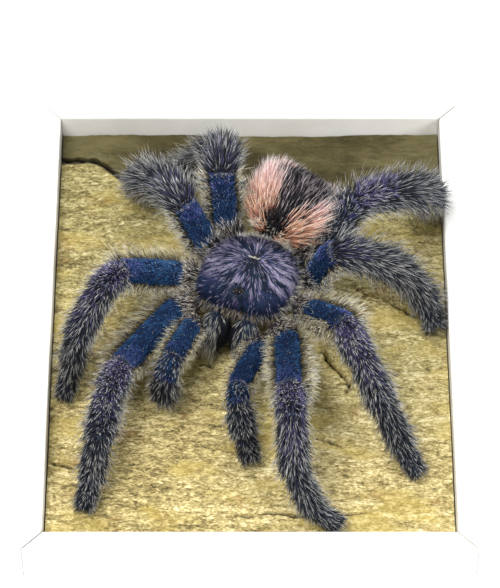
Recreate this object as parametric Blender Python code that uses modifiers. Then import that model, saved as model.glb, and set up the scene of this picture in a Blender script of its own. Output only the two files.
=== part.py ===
"""Dried tarantula mounted on bark in a shallow white tray frame.

Units are metres, +Z up. The tray lies on its back on the XY plane, its
origin at the middle of the back face; -Y is the near rail, the side that
the spider faces. All the pieces hang from one empty that lies on the face
of the bark, so every height below is counted from the bark.
"""
import math

import bmesh
import bpy
from mathutils import Matrix, Vector

MM = 0.001

# ---------------------------------------------------------------- tray ----
WINDOW_X = 44.0          # half width of the opening
WINDOW_NEAR = -57.0      # near and far edges of the opening
WINDOW_FAR = 57.0
RAIL_W = 4.5             # width of a rail seen from above
RIM_Z = 4.5              # rail top above the bark
BACK_Z = -7.0            # back of the tray below the bark
BOARD_T = 2.7            # backing board
FIT = 0.3                # clearance between neighbouring pieces
RAIL_BEVEL = 0.45

# ---------------------------------------------------------------- bark ----
BARK_RELIEF = 0.55       # height of the slow waves of the bark face
CRACK_W = 1.5            # open crack between the two pieces of bark
REAR_DROP = 1.3          # the rear piece lies this much lower

# -------------------------------------------------------------- spider ----
YAW = math.radians(-20.0)            # the head points 20 degrees off -Y
CENTRE = Vector((0.0, 5.0, 0.0))     # middle of the carapace on the bark
CARAPACE_FRONT = 9.4                 # head edge ahead of the middle
CARAPACE_REAR = 10.3                 # rear edge behind it
CARAPACE_W = 21.0
CARAPACE_RIM = 11.0                  # height of its widest line
CARAPACE_TOP = 15.8
STERNUM_Z = 4.6                      # underside between the legs
DIMPLE_BACK = 3.1                    # pit of the carapace, behind its middle
ABDOMEN = Vector((9.4, 23.3, 13.5))
ABDOMEN_SIZE = (17.4, 16.4, 13.8)    # width, length, height
ABDOMEN_TURN = math.radians(-38.0)   # tail swung to the spider's left
ABDOMEN_RAISE = math.radians(12.0)

# Leg sections in mm, from the body out. Palps have no metatarsus.
SECTIONS = {
    "palp": (12.5, 5.2, 6.2, 6.0),
    "leg1": (21.0, 8.5, 12.0, 9.5, 6.0),
    "leg2": (17.5, 8.5, 12.0, 9.5, 6.5),
    "leg3": (13.0, 7.5, 10.5, 9.5, 6.0),
    "leg4": (15.5, 8.5, 12.0, 11.5, 7.0),
}
# Half thickness of each section, bare of hair.
GIRTH = {
    "palp": (2.1, 2.1, 2.1, 1.75),
    "leg1": (2.6, 2.45, 2.35, 2.0, 1.6),
    "leg2": (2.6, 2.45, 2.3, 2.0, 1.6),
    "leg3": (2.55, 2.4, 2.3, 1.9, 1.55),
    "leg4": (2.55, 2.45, 2.35, 2.0, 1.6),
}
# Where each limb leaves the body: ahead of the centre, and to the side;
# then the height there and the length of the stub that joins it.
ROOTS = {
    "palp": (14.4, 8.0, 8.7, 1.2),
    "leg1": (11.0, 12.6, 9.0, 3.8),
    "leg2": (2.5, 15.0, 9.0, 3.3),
    "leg3": (-6.9, 12.9, 9.0, 2.6),
    "leg4": (-13.2, 10.6, 9.0, 4.0),
}
# The pose: heading and slope of every section in degrees, heading counted
# from +X. "right" and "left" are the spider's own.
POSE = {
    ("palp", "right"): ((-111, 15), (-110, -15), (-100, -84), (80, -6)),
    ("palp", "left"): ((-115, 2), (-89, -2), (-76, -26), (-72, -40)),
    ("leg1", "right"): ((-126, 3), (-106, 11), (-100, -2), (-104, -44), (-106, -26)),
    ("leg1", "left"): ((-89, 23), (-87, 9), (-86, -38), (-50, -46), (-22, -20)),
    ("leg2", "right"): ((-155, 32), (-117, 22), (-122, -28), (-122, -76), (-115, -45)),
    ("leg2", "left"): ((-59, 39), (-64, -13), (-61, -30), (-55, -44), (-54, -32)),
    ("leg3", "right"): ((160, 68), (126, 5), (130, -35), (100, -62), (95, -60)),
    ("leg3", "left"): ((-35, 70), (10, -22), (0, -32), (-28, -50), (-70, -32)),
    ("leg4", "right"): ((107, 78), (88, -4), (130, -58), (165, -50), (170, -20)),
    ("leg4", "left"): ((36, 43), (5, 16), (32, -34), (85, -64), (92, -22)),
}


# ------------------------------------------------------------- helpers ----
def clear_scene():
    for ob in list(bpy.data.objects):
        bpy.data.objects.remove(ob, do_unlink=True)


def material(name, colour, roughness, metallic=0.0):
    mat = bpy.data.materials.new(name)
    mat.use_nodes = True
    bsdf = mat.node_tree.nodes["Principled BSDF"]
    bsdf.inputs["Base Color"].default_value = (*colour, 1.0)
    bsdf.inputs["Roughness"].default_value = roughness
    bsdf.inputs["Metallic"].default_value = metallic
    mat.diffuse_color = (*colour, 1.0)
    return mat


def place(ob, mat, parent, collection):
    ob.data.materials.append(mat)
    ob.parent = parent
    collection.objects.link(ob)
    return ob


def mesh_object(name, bm, mat, parent, collection, smooth=True):
    """Mesh modelled in millimetres, with its faces turned outward."""
    bmesh.ops.recalc_face_normals(bm, faces=bm.faces)
    if bm.calc_volume(signed=True) < 0.0:
        bmesh.ops.reverse_faces(bm, faces=bm.faces)
    bmesh.ops.scale(bm, verts=bm.verts, vec=(MM, MM, MM))
    mesh = bpy.data.meshes.new(name)
    bm.to_mesh(mesh)
    bm.free()
    if smooth:
        mesh.shade_smooth()
        mesh.set_sharp_from_angle(angle=math.radians(40.0))
    return place(bpy.data.objects.new(name, mesh), mat, parent, collection)


def body_point(ahead, side, height):
    """Point given along the spider's own axes, in mm from the bark."""
    forward = Vector((math.sin(YAW), -math.cos(YAW), 0.0))
    left = Vector((math.cos(YAW), math.sin(YAW), 0.0))
    return CENTRE + forward * ahead + left * side + Vector((0.0, 0.0, height))


def heading(azimuth, slope):
    az, el = math.radians(azimuth), math.radians(slope)
    return Vector((math.cos(el) * math.cos(az),
                   math.cos(el) * math.sin(az), math.sin(el)))


# ---------------------------------------------------------------- tray ----
def rail(name, corner, turn, length, mat, parent, collection):
    """A straight mitred rail: its outer edge starts at the given corner."""
    bm = bmesh.new()
    bmesh.ops.create_cube(bm, size=1.0)
    for v in bm.verts:
        along, across, up = v.co.x + 0.5, v.co.y + 0.5, v.co.z + 0.5
        mitre = RAIL_W * across + FIT * 0.5 * math.sqrt(2.0)
        v.co = Vector((mitre if along < 0.5 else length - mitre,
                       RAIL_W * across, BACK_Z + (RIM_Z - BACK_Z) * up))
    ob = mesh_object(name, bm, mat, parent, collection, smooth=False)
    ob.location = (corner[0] * MM, corner[1] * MM, 0.0)
    ob.rotation_euler = (0.0, 0.0, math.radians(turn))
    bevel = ob.modifiers.new("eased edges", "BEVEL")
    bevel.width = RAIL_BEVEL * MM
    bevel.segments = 2
    bevel.limit_method = "ANGLE"
    return ob


def board(name, mat, parent, collection):
    bm = bmesh.new()
    bmesh.ops.create_cube(bm, size=1.0)
    near, far = WINDOW_NEAR + FIT, WINDOW_FAR - FIT
    bmesh.ops.scale(bm, verts=bm.verts, vec=(
        2.0 * (WINDOW_X - FIT), far - near, BOARD_T))
    bmesh.ops.translate(bm, verts=bm.verts, vec=(
        0.0, 0.5 * (near + far), BACK_Z + 0.5 * BOARD_T))
    return mesh_object(name, bm, mat, parent, collection, smooth=False)


# ---------------------------------------------------------------- bark ----
def crack_line(x):
    """Far edge of the front bark: a rise at the left, then nearly level."""
    step = 1.0 / (1.0 + math.exp((x + 32.3) / 1.9))
    return (41.2 + 7.6 * step - 1.1 * (1.0 + math.tanh((x - 5.0) / 18.0))
            + 0.45 * math.sin(x / 7.3) + 0.3 * math.sin(x / 2.9))


def bark_height(x, y):
    return BARK_RELIEF * (0.55 * math.sin(0.11 * x + 0.5) * math.cos(0.07 * y)
                          + 0.45 * math.sin(0.05 * x - 0.16 * y + 1.0)) - 0.25


def bark(name, near, far, drop, cells, mat, parent, collection):
    """A slab whose face waves gently; near and far give its edges at x."""
    nx, ny = cells
    bm = bmesh.new()
    bmesh.ops.create_grid(bm, x_segments=nx, y_segments=ny, size=1.0)
    side = WINDOW_X - FIT
    floor_z = BACK_Z + BOARD_T + FIT
    for v in bm.verts:
        x = v.co.x * side
        t = 0.5 * (v.co.y + 1.0)
        y = near(x) * (1.0 - t) + far(x) * t
        v.co = Vector((x, y, bark_height(x, y) - drop))
    grown = bmesh.ops.extrude_face_region(bm, geom=list(bm.faces))
    under = [g for g in grown["geom"] if isinstance(g, bmesh.types.BMVert)]
    for v in under:
        v.co.z = floor_z
    lower = [f for f in bm.faces
             if all(abs(v.co.z - floor_z) < 1e-4 for v in f.verts)]
    bmesh.ops.dissolve_faces(bm, faces=lower, use_verts=False)
    return mesh_object(name, bm, mat, parent, collection)


# -------------------------------------------------------------- spider ----
def carapace(name, mat, parent, collection):
    """Front body: a low dome, squarer at the head, with a dimple on top."""
    bm = bmesh.new()
    bmesh.ops.create_uvsphere(bm, u_segments=28, v_segments=14, radius=1.0)
    for v in bm.verts:
        x, y, z = v.co
        turn = math.atan2(y, x)
        square = 3.0 if y > 0.0 else 2.3
        swell = (abs(math.cos(turn)) ** square
                 + abs(math.sin(turn)) ** square) ** (-1.0 / square)
        side = x * swell * CARAPACE_W * 0.5
        ahead = y * swell * (CARAPACE_FRONT if y > 0.0 else CARAPACE_REAR)
        if z >= 0.0:
            height = CARAPACE_RIM + (CARAPACE_TOP - CARAPACE_RIM) * z ** 0.9
            height += 0.8 * max(0.0, y) * z                     # raised head
            dimple = math.exp(-((side / 1.6) ** 2 + ((ahead + DIMPLE_BACK) / 1.3) ** 2))
            height -= 1.1 * dimple
        else:
            height = CARAPACE_RIM + (CARAPACE_RIM - STERNUM_Z) * z
            tuck = 1.0 - 0.16 * (-z)
            side, ahead = side * tuck, ahead * tuck
        v.co = body_point(ahead, side, height)
    return mesh_object(name, bm, mat, parent, collection)


def abdomen(name, mat, parent, collection):
    bm = bmesh.new()
    bmesh.ops.create_uvsphere(bm, u_segments=24, v_segments=14, radius=1.0)
    w, l, h = ABDOMEN_SIZE
    turn = (Matrix.Rotation(ABDOMEN_TURN, 3, "Z")
            @ Matrix.Rotation(ABDOMEN_RAISE, 3, "X"))
    for v in bm.verts:
        x, y, z = v.co
        fuller = 1.0 + 0.06 * y                # fuller toward the tail
        blunt, ahead = 1.0, 0.5
        if y > 0.0:                            # blunt tail with two corners
            a = math.atan2(y, x)
            blunt = (abs(math.cos(a)) ** 3 + abs(math.sin(a)) ** 3) ** (-1 / 3)
            ahead = 0.45
        p = Vector((x * w * 0.5 * fuller * blunt, y * l * ahead * blunt,
                    z * h * 0.5 * fuller))
        v.co = ABDOMEN + turn @ p
    return mesh_object(name, bm, mat, parent, collection)


def abdomen_point(x, y, z):
    """Point along the abdomen's own axes: side, toward the tail, up."""
    turn = (Matrix.Rotation(ABDOMEN_TURN, 3, "Z")
            @ Matrix.Rotation(ABDOMEN_RAISE, 3, "X"))
    return ABDOMEN + turn @ Vector((x, y, z))


def tube(name, points, radii, mat, parent, collection, sides=3):
    """A capped tube whose thickness changes from point to point."""
    curve = bpy.data.curves.new(name, "CURVE")
    curve.dimensions = "3D"
    curve.bevel_depth = MM
    curve.bevel_resolution = sides
    curve.use_fill_caps = True
    spline = curve.splines.new("POLY")
    spline.points.add(len(points) - 1)
    for bp, p, r in zip(spline.points, points, radii):
        bp.co = (*(Vector(p) * MM), 1.0)
        bp.radius = r
    spline.use_smooth = True
    ob = bpy.data.objects.new(name, curve)
    return place(ob, mat, parent, collection)


def limb_joints(kind, side):
    """Stub start, root, then the far end of every section."""
    ahead, out, height, stub = ROOTS[kind]
    sign = 1.0 if side == "left" else -1.0
    root = body_point(ahead, out * sign, height)
    inward = (body_point(ahead * 0.35, 0.0, height - 0.8) - root).normalized()
    joints = [root + inward * stub, root]
    for length, (az, el) in zip(SECTIONS[kind], POSE[(kind, side)]):
        joints.append(joints[-1] + heading(az, el) * length)
    return joints


def limb(name, kind, side, mat, parent, collection):
    """One limb: full sections with a slight waist at every joint."""
    joints = limb_joints(kind, side)
    girth = GIRTH[kind]
    points, radii = [joints[0]], [girth[0] * 0.92]
    for i, r in enumerate(girth):
        a, b = joints[i + 1], joints[i + 2]
        last = i == len(girth) - 1
        length = (b - a).length
        near = min(0.34, 1.9 / length)
        stops = (near, 0.5, 1.0 - near) if not last else (near, 0.6, 1.0)
        waist = (0.93, 1.0, 0.92) if not last else (0.95, 1.0, 0.62)
        for t, k in zip(stops, waist):
            points.append(a.lerp(b, t))
            radii.append(r * k)
    return tube(name, points, radii, mat, parent, collection)


def chelicera(name, side, mat, parent, collection):
    """Jaw base: a long egg, deeper than wide, leaning forward and down."""
    bm = bmesh.new()
    bmesh.ops.create_uvsphere(bm, u_segments=16, v_segments=10, radius=1.0)
    for v in bm.verts:
        x, y, z = v.co
        slim = 1.0 - 0.10 * y
        ahead = 13.2 + 3.1 * y - 0.4 * z
        v.co = body_point(ahead, side * 3.2 + x * 2.85 * slim,
                          6.9 + 3.9 * z * slim - 0.9 * y)
    return mesh_object(name, bm, mat, parent, collection)


def fang(name, side, mat, parent, collection):
    """Curved fang folded back under the jaw base."""
    points, radii = [], []
    for i in range(6):
        t = i / 5.0
        ahead = 15.0 - 4.6 * t
        height = 2.25 - 0.75 * math.sin(math.pi * t)
        points.append(body_point(ahead, side * (2.9 - 0.9 * t), height))
        radii.append(0.62 - 0.44 * t)
    return tube(name, points, radii, mat, parent, collection, sides=2)


# --------------------------------------------------------------- build ----
def build():
    clear_scene()
    things = bpy.data.collections.new("framed tarantula specimen")
    bpy.context.scene.collection.children.link(things)

    face = bpy.data.objects.new("bark face", None)
    face.location = (0.0, -0.5 * (WINDOW_NEAR + WINDOW_FAR) * MM, -BACK_Z * MM)
    things.objects.link(face)

    white = material("white painted wood", (0.86, 0.86, 0.85), 0.45)
    card = material("backing board", (0.55, 0.47, 0.36), 0.85)
    tan = material("yellow tan bark", (0.42, 0.34, 0.15), 0.90)
    olive = material("olive brown bark", (0.16, 0.13, 0.06), 0.92)
    indigo = material("dark indigo shell", (0.045, 0.035, 0.10), 0.45)
    salmon = material("salmon abdomen", (0.50, 0.22, 0.18), 0.80)
    slate = material("slate blue leg", (0.035, 0.045, 0.09), 0.60)
    blue = material("deep blue jaw", (0.03, 0.05, 0.12), 0.55)
    cream = material("cream waist", (0.45, 0.42, 0.36), 0.85)
    horn = material("black horn", (0.012, 0.009, 0.010), 0.30)

    # tray
    x = WINDOW_X + RAIL_W
    near, far = WINDOW_NEAR - RAIL_W, WINDOW_FAR + RAIL_W
    wide, deep = 2.0 * x, far - near
    rail("frame_rail_near", (-x, near), 0, wide, white, face, things)
    rail("frame_rail_right", (x, near), 90, deep, white, face, things)
    rail("frame_rail_far", (x, far), 180, wide, white, face, things)
    rail("frame_rail_left", (-x, far), 270, deep, white, face, things)
    board("backing_board", card, face, things)

    # bark
    bark("bark_panel", lambda s: WINDOW_NEAR + FIT, crack_line, 0.0, (26, 18),
         tan, face, things)
    bark("bark_strip_rear", lambda s: crack_line(s) + CRACK_W,
         lambda s: WINDOW_FAR - FIT, REAR_DROP, (26, 4), olive, face, things)

    # spider
    carapace("carapace", indigo, face, things)
    abdomen("abdomen", salmon, face, things)
    half = 0.5 * ABDOMEN_SIZE[1]
    tube("pedicel",
         [body_point(-CARAPACE_REAR - 1.25, 0.0, 9.4),
          abdomen_point(0.0, -half - 0.75, -1.0)],
         [1.15, 1.05], cream, face, things)
    for side, sign in (("left", 1.0), ("right", -1.0)):
        tube("spinneret_" + side,
             [abdomen_point(sign * 1.5, half - 1.6, -4.9),
              abdomen_point(sign * 2.0, half + 0.2, -5.1),
              abdomen_point(sign * 2.4, half + 2.0, -4.8)],
             [0.85, 0.75, 0.4], slate, face, things, sides=2)
        chelicera("chelicera_" + side, sign, blue, face, things)
        fang("fang_" + side, sign, horn, face, things)
        limb("pedipalp_" + side, "palp", side, slate, face, things)
        for kind, number in (("leg1", "1"), ("leg2", "2"),
                             ("leg3", "3"), ("leg4", "4")):
            limb("leg_%s_%s" % (number, side), kind, side, slate, face, things)


build()
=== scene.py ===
import math

import bmesh
import bpy
import numpy as np
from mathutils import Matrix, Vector


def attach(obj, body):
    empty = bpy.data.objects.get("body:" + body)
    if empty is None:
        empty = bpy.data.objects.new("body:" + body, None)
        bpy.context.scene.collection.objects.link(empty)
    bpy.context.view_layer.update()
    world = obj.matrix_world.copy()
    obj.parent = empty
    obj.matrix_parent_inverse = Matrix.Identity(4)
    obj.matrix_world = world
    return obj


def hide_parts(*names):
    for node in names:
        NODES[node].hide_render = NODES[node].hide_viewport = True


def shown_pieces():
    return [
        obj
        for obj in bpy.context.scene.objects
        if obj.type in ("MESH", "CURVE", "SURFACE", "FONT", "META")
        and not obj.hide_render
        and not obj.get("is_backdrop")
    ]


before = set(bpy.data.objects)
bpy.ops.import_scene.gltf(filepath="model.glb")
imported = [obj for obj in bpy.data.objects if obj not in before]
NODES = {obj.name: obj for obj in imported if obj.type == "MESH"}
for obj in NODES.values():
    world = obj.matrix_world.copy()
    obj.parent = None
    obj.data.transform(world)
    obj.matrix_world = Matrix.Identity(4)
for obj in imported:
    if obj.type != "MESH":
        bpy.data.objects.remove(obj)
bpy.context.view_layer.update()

# Lengths below are millimetres counted from the face of the bark; OFF is
# where that face's origin lies in the row frame.
MM = 0.001
OFF = np.array([0.0, 0.0, 7.0])

# ------------------------------------------------ sizes shared with CAD ----
WINDOW_X, WINDOW_NEAR, WINDOW_FAR = 44.0, -57.0, 57.0
RAIL_W, RIM_Z, BACK_Z, BOARD_T, FIT = 4.5, 4.5, -7.0, 2.7, 0.3
BARK_RELIEF, CRACK_W, REAR_DROP = 0.55, 1.5, 1.3
YAW = math.radians(-20.0)
CENTRE = np.array([0.0, 5.0, 0.0])
CARAPACE_FRONT, CARAPACE_REAR, CARAPACE_W = 9.4, 10.3, 21.0
CARAPACE_RIM, CARAPACE_TOP, STERNUM_Z = 11.0, 15.8, 4.6
DIMPLE_BACK = 3.1
ABDOMEN = np.array([9.4, 23.3, 13.5])
ABDOMEN_SIZE = (17.4, 16.4, 13.8)
ABDOMEN_TURN, ABDOMEN_RAISE = math.radians(-38.0), math.radians(12.0)

SECTIONS = {
    "palp": (12.5, 5.2, 6.2, 6.0),
    "leg1": (21.0, 8.5, 12.0, 9.5, 6.0),
    "leg2": (17.5, 8.5, 12.0, 9.5, 6.5),
    "leg3": (13.0, 7.5, 10.5, 9.5, 6.0),
    "leg4": (15.5, 8.5, 12.0, 11.5, 7.0),
}
GIRTH = {
    "palp": (2.1, 2.1, 2.1, 1.75),
    "leg1": (2.6, 2.45, 2.35, 2.0, 1.6),
    "leg2": (2.6, 2.45, 2.3, 2.0, 1.6),
    "leg3": (2.55, 2.4, 2.3, 1.9, 1.55),
    "leg4": (2.55, 2.45, 2.35, 2.0, 1.6),
}
ROOTS = {
    "palp": (14.4, 8.0, 8.7, 1.2),
    "leg1": (11.0, 12.6, 9.0, 3.8),
    "leg2": (2.5, 15.0, 9.0, 3.3),
    "leg3": (-6.9, 12.9, 9.0, 2.6),
    "leg4": (-13.2, 10.6, 9.0, 4.0),
}
POSE = {
    ("palp", "right"): ((-111, 15), (-110, -15), (-100, -84), (80, -6)),
    ("palp", "left"): ((-115, 2), (-89, -2), (-76, -26), (-72, -40)),
    ("leg1", "right"): ((-126, 3), (-106, 11), (-100, -2), (-104, -44), (-106, -26)),
    ("leg1", "left"): ((-89, 23), (-87, 9), (-86, -38), (-50, -46), (-22, -20)),
    ("leg2", "right"): ((-155, 32), (-117, 22), (-122, -28), (-122, -76), (-115, -45)),
    ("leg2", "left"): ((-59, 39), (-64, -13), (-61, -30), (-55, -44), (-54, -32)),
    ("leg3", "right"): ((160, 68), (126, 5), (130, -35), (100, -62), (95, -60)),
    ("leg3", "left"): ((-35, 70), (10, -22), (0, -32), (-28, -50), (-70, -32)),
    ("leg4", "right"): ((107, 78), (88, -4), (130, -58), (165, -50), (170, -20)),
    ("leg4", "left"): ((36, 43), (5, 16), (32, -34), (85, -64), (92, -22)),
}

FORWARD = np.array([math.sin(YAW), -math.cos(YAW), 0.0])
LEFT = np.array([math.cos(YAW), math.sin(YAW), 0.0])
UP = np.array([0.0, 0.0, 1.0])


# --------------------------------------------------------------- maths ----
def unit(v):
    v = np.asarray(v, float)
    return v / np.maximum(np.linalg.norm(v, axis=-1, keepdims=True), 1e-9)


def smooth(t):
    t = np.clip(t, 0.0, 1.0)
    return t * t * (3.0 - 2.0 * t)


def noise2(x, y, seed, n=64):
    """Smooth value noise from 0 to 1 on a repeating lattice."""
    table = np.random.default_rng(seed).random((n, n))
    x, y = np.asarray(x, float), np.asarray(y, float)
    i, j = np.floor(x).astype(int), np.floor(y).astype(int)
    u, v = smooth(x - i), smooth(y - j)
    a, b = table[i % n, j % n], table[(i + 1) % n, j % n]
    c, d = table[i % n, (j + 1) % n], table[(i + 1) % n, (j + 1) % n]
    return (a * (1 - u) + b * u) * (1 - v) + (c * (1 - u) + d * u) * v


def fbm(x, y, seed, octaves=4):
    total, amp, size = 0.0, 0.5, 1.0
    for k in range(octaves):
        total = total + amp * noise2(x * size + 7.3 * k, y * size + 3.1 * k, seed + k)
        amp, size = amp * 0.5, size * 2.03
    return total / (1.0 - 0.5 ** octaves)


def body_point(ahead, side, height):
    p = (CENTRE + np.multiply.outer(ahead, FORWARD) + np.multiply.outer(side, LEFT))
    return p + np.multiply.outer(height, UP)


def rotation(axis, angle):
    c, s = math.cos(angle), math.sin(angle)
    if axis == "Z":
        return np.array([[c, -s, 0], [s, c, 0], [0, 0, 1.0]])
    return np.array([[1.0, 0, 0], [0, c, -s], [0, s, c]])


ABDOMEN_ROT = rotation("Z", ABDOMEN_TURN) @ rotation("X", ABDOMEN_RAISE)


def abdomen_point(p):
    return ABDOMEN + np.asarray(p, float) @ ABDOMEN_ROT.T


# -------------------------------------------------------------- meshes ----
def mesh_piece(name, verts, faces, mats, uvs=None, face_mats=None, smooth_shade=True):
    """verts in mm from the bark; faces as a list of tuples or an (n, k) array."""
    mesh = bpy.data.meshes.new(name)
    world = (np.asarray(verts, float) + OFF) * MM
    if isinstance(faces, np.ndarray):
        n, k = faces.shape
        loops = faces.ravel()
        starts = np.arange(0, n * k, k)
    else:
        n = len(faces)
        loops = np.array([i for f in faces for i in f])
        sizes = np.array([len(f) for f in faces])
        starts = np.concatenate([[0], np.cumsum(sizes)[:-1]])
    mesh.vertices.add(len(world))
    mesh.vertices.foreach_set("co", world.astype(np.float32).ravel())
    mesh.loops.add(len(loops))
    mesh.loops.foreach_set("vertex_index", loops.astype(np.int32))
    mesh.polygons.add(n)
    mesh.polygons.foreach_set("loop_start", starts.astype(np.int32))
    if face_mats is not None:
        mesh.polygons.foreach_set("material_index", np.asarray(face_mats, np.int32))
    if uvs is not None:
        layer = mesh.uv_layers.new(name="OFBake")
        layer.data.foreach_set("uv", np.asarray(uvs, np.float32).ravel())
    mesh.update(calc_edges=True)
    mesh.validate()
    if smooth_shade:
        mesh.shade_smooth()
    for m in mats:
        mesh.materials.append(m)
    ob = bpy.data.objects.new(name, mesh)
    bpy.context.scene.collection.objects.link(ob)
    return ob


class Fur:
    """Collects tapered three sided hairs and makes one mesh of them.

    palette is each hair's place across the material's colour map, from 0 to
    1; the map's other direction runs from the hair's root to its tip.
    """

    def __init__(self):
        self.verts, self.tris, self.uvs, self.count = [], [], [], 0

    def add(self, root, aim, length, width, palette, lean=None, steps=1, spread=0.012):
        n = len(root)
        if n == 0:
            return
        aim = unit(aim)
        length = np.broadcast_to(np.asarray(length, float), (n,))[:, None]
        width = np.broadcast_to(np.asarray(width, float), (n,))[:, None]
        palette = np.clip(np.broadcast_to(np.asarray(palette, float), (n,)), 0.02, 0.98)
        ref = np.where(np.abs(aim[:, 2:3]) > 0.9, np.array([[1.0, 0, 0]]), np.array([[0, 0, 1.0]]))
        a = unit(np.cross(aim, ref))
        b = np.cross(aim, a)
        corners = [(math.cos(t), math.sin(t)) for t in (0.4, 0.4 + 2 * math.pi / 3, 0.4 + 4 * math.pi / 3)]
        rings, marks = [], []
        ring0 = np.stack([root + (a * c + b * s) * width * 0.5 for c, s in corners], 1)
        rings.append(ring0)
        marks.append(0.0)
        if steps == 1:
            tip = root + aim * length
            if lean is not None:
                tip = root + unit(aim + lean * 0.5) * length
        else:
            mid = root + aim * length * 0.5
            rings.append(np.stack([mid + (a * c + b * s) * width * 0.36 for c, s in corners], 1))
            marks.append(0.5)
            bent = unit(aim + lean) if lean is not None else aim
            tip = mid + bent * length * 0.5
        per = 3 * len(rings) + 1
        verts = np.concatenate(rings + [tip[:, None, :]], axis=1).reshape(-1, 3)
        base = self.count + np.arange(n) * per
        tris, uvs = [], []
        du = (-spread, 0.0, spread)
        for k in range(len(rings)):
            for i in range(3):
                j = (i + 1) % 3
                p, q = 3 * k + i, 3 * k + j
                if k + 1 < len(rings):
                    r, s = p + 3, q + 3
                    tris.append(np.stack([base + p, base + q, base + s], 1))
                    uvs.append([(du[i], marks[k]), (du[j], marks[k]), (du[j], marks[k + 1])])
                    tris.append(np.stack([base + p, base + s, base + r], 1))
                    uvs.append([(du[i], marks[k]), (du[j], marks[k + 1]), (du[i], marks[k + 1])])
                else:
                    tris.append(np.stack([base + p, base + q, base + per - 1], 1))
                    uvs.append([(du[i], marks[k]), (du[j], marks[k]), (0.0, 1.0)])
        tris = np.stack(tris, 1)
        uvs = np.array(uvs)[None] + np.stack([palette, np.zeros(n)], 1)[:, None, None, :]
        self.verts.append(verts)
        self.tris.append(tris.reshape(-1, 3))
        self.uvs.append(uvs.reshape(-1, 2))
        self.count += n * per

    def build(self, name, mat):
        verts = np.concatenate(self.verts)
        tris = np.concatenate(self.tris)
        # flip to point outward: the corners run clockwise seen from the tip
        tris = tris[:, ::-1]
        uvs = np.concatenate(self.uvs).reshape(-1, 3, 2)[:, ::-1].reshape(-1, 2)
        return mesh_piece(name, verts, tris, [mat], uvs=uvs, smooth_shade=False)


# ----------------------------------------------------------- materials ----
class Nodes:
    """Short forms for building a node tree."""

    def __init__(self, name):
        self.mat = bpy.data.materials.new(name)
        self.mat.use_nodes = True
        self.tree = self.mat.node_tree
        self.bsdf = self.tree.nodes["Principled BSDF"]

    def new(self, kind, **values):
        node = self.tree.nodes.new(kind)
        for key, value in values.items():
            setattr(node, key, value)
        return node

    def link(self, a, b):
        self.tree.links.new(a, b)

    def value(self, node, **inputs):
        for key, value in inputs.items():
            node.inputs[key.replace("_", " ")].default_value = value
        return node

    def ramp(self, fac, stops, mode="LINEAR"):
        node = self.new("ShaderNodeValToRGB")
        node.color_ramp.interpolation = mode
        els = node.color_ramp.elements
        while len(els) > 1:
            els.remove(els[-1])
        for i, (pos, col) in enumerate(stops):
            el = els[0] if i == 0 else els.new(pos)
            el.position = pos
            el.color = (*col, 1.0) if len(col) == 3 else col
        if fac is not None:
            self.link(fac, node.inputs["Fac"])
        return node.outputs["Color"]

    def mix(self, fac, a, b, blend="MIX"):
        node = self.new("ShaderNodeMix", data_type="RGBA", blend_type=blend)
        for i, v in ((0, fac), (6, a), (7, b)):
            if isinstance(v, (int, float)):
                node.inputs[i].default_value = v
            elif isinstance(v, tuple):
                node.inputs[i].default_value = (*v, 1.0)
            else:
                self.link(v, node.inputs[i])
        return node.outputs[2]

    def math(self, op, a, b=0.0, clamp=False):
        node = self.new("ShaderNodeMath", operation=op, use_clamp=clamp)
        for i, v in enumerate((a, b)):
            if isinstance(v, (int, float)):
                node.inputs[i].default_value = v
            else:
                self.link(v, node.inputs[i])
        return node.outputs[0]

    def noise(self, vector, scale, detail=4.0, rough=0.5, distortion=0.0):
        node = self.new("ShaderNodeTexNoise")
        node.inputs["Scale"].default_value = scale
        node.inputs["Detail"].default_value = detail
        node.inputs["Roughness"].default_value = rough
        node.inputs["Distortion"].default_value = distortion
        self.link(vector, node.inputs["Vector"])
        return node.outputs["Fac"]

    def coords(self, scale=(1, 1, 1), rotation_z=0.0):
        tex = self.new("ShaderNodeTexCoord")
        mapping = self.new("ShaderNodeMapping")
        mapping.inputs["Scale"].default_value = scale
        mapping.inputs["Rotation"].default_value = (0.0, 0.0, rotation_z)
        self.link(tex.outputs["Object"], mapping.inputs["Vector"])
        return mapping.outputs["Vector"]

    def uv(self):
        uv = self.new("ShaderNodeUVMap", uv_map="OFBake")
        sep = self.new("ShaderNodeSeparateXYZ")
        self.link(uv.outputs["UV"], sep.inputs["Vector"])
        return sep.outputs["X"], sep.outputs["Y"]

    def bump(self, height, strength, distance):
        node = self.new("ShaderNodeBump")
        node.inputs["Strength"].default_value = strength
        node.inputs["Distance"].default_value = distance
        self.link(height, node.inputs["Height"])
        self.link(node.outputs["Normal"], self.bsdf.inputs["Normal"])

    def finish(self, colour, roughness, **fixed):
        if isinstance(colour, tuple):
            self.bsdf.inputs["Base Color"].default_value = (*colour, 1.0)
        else:
            self.link(colour, self.bsdf.inputs["Base Color"])
        if isinstance(roughness, (int, float)):
            self.bsdf.inputs["Roughness"].default_value = roughness
        else:
            self.link(roughness, self.bsdf.inputs["Roughness"])
        for key, value in fixed.items():
            self.bsdf.inputs[key.replace("_", " ")].default_value = value
        return self.mat


def fur_material(name, zones, roughness, specular):
    """zones: (left edge of the palette, root, middle, tip) colours."""
    t = Nodes(name)
    u, v = t.uv()
    layers = []
    for k in (1, 2, 3):
        stops = []
        for i, z in enumerate(zones):
            stops.append((z[0], z[k]))
        layers.append(t.ramp(u, stops))
    low = t.ramp(v, [(0.05, (0, 0, 0)), (0.45, (1, 1, 1))])
    high = t.ramp(v, [(0.48, (0, 0, 0)), (0.80, (1, 1, 1))])
    col = t.mix(low, layers[0], layers[1])
    col = t.mix(high, col, layers[2])
    rough = t.ramp(v, [(0.0, (roughness + 0.15,) * 3), (1.0, (roughness,) * 3)])
    return t.finish(col, rough, Specular_IOR_Level=specular)


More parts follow.
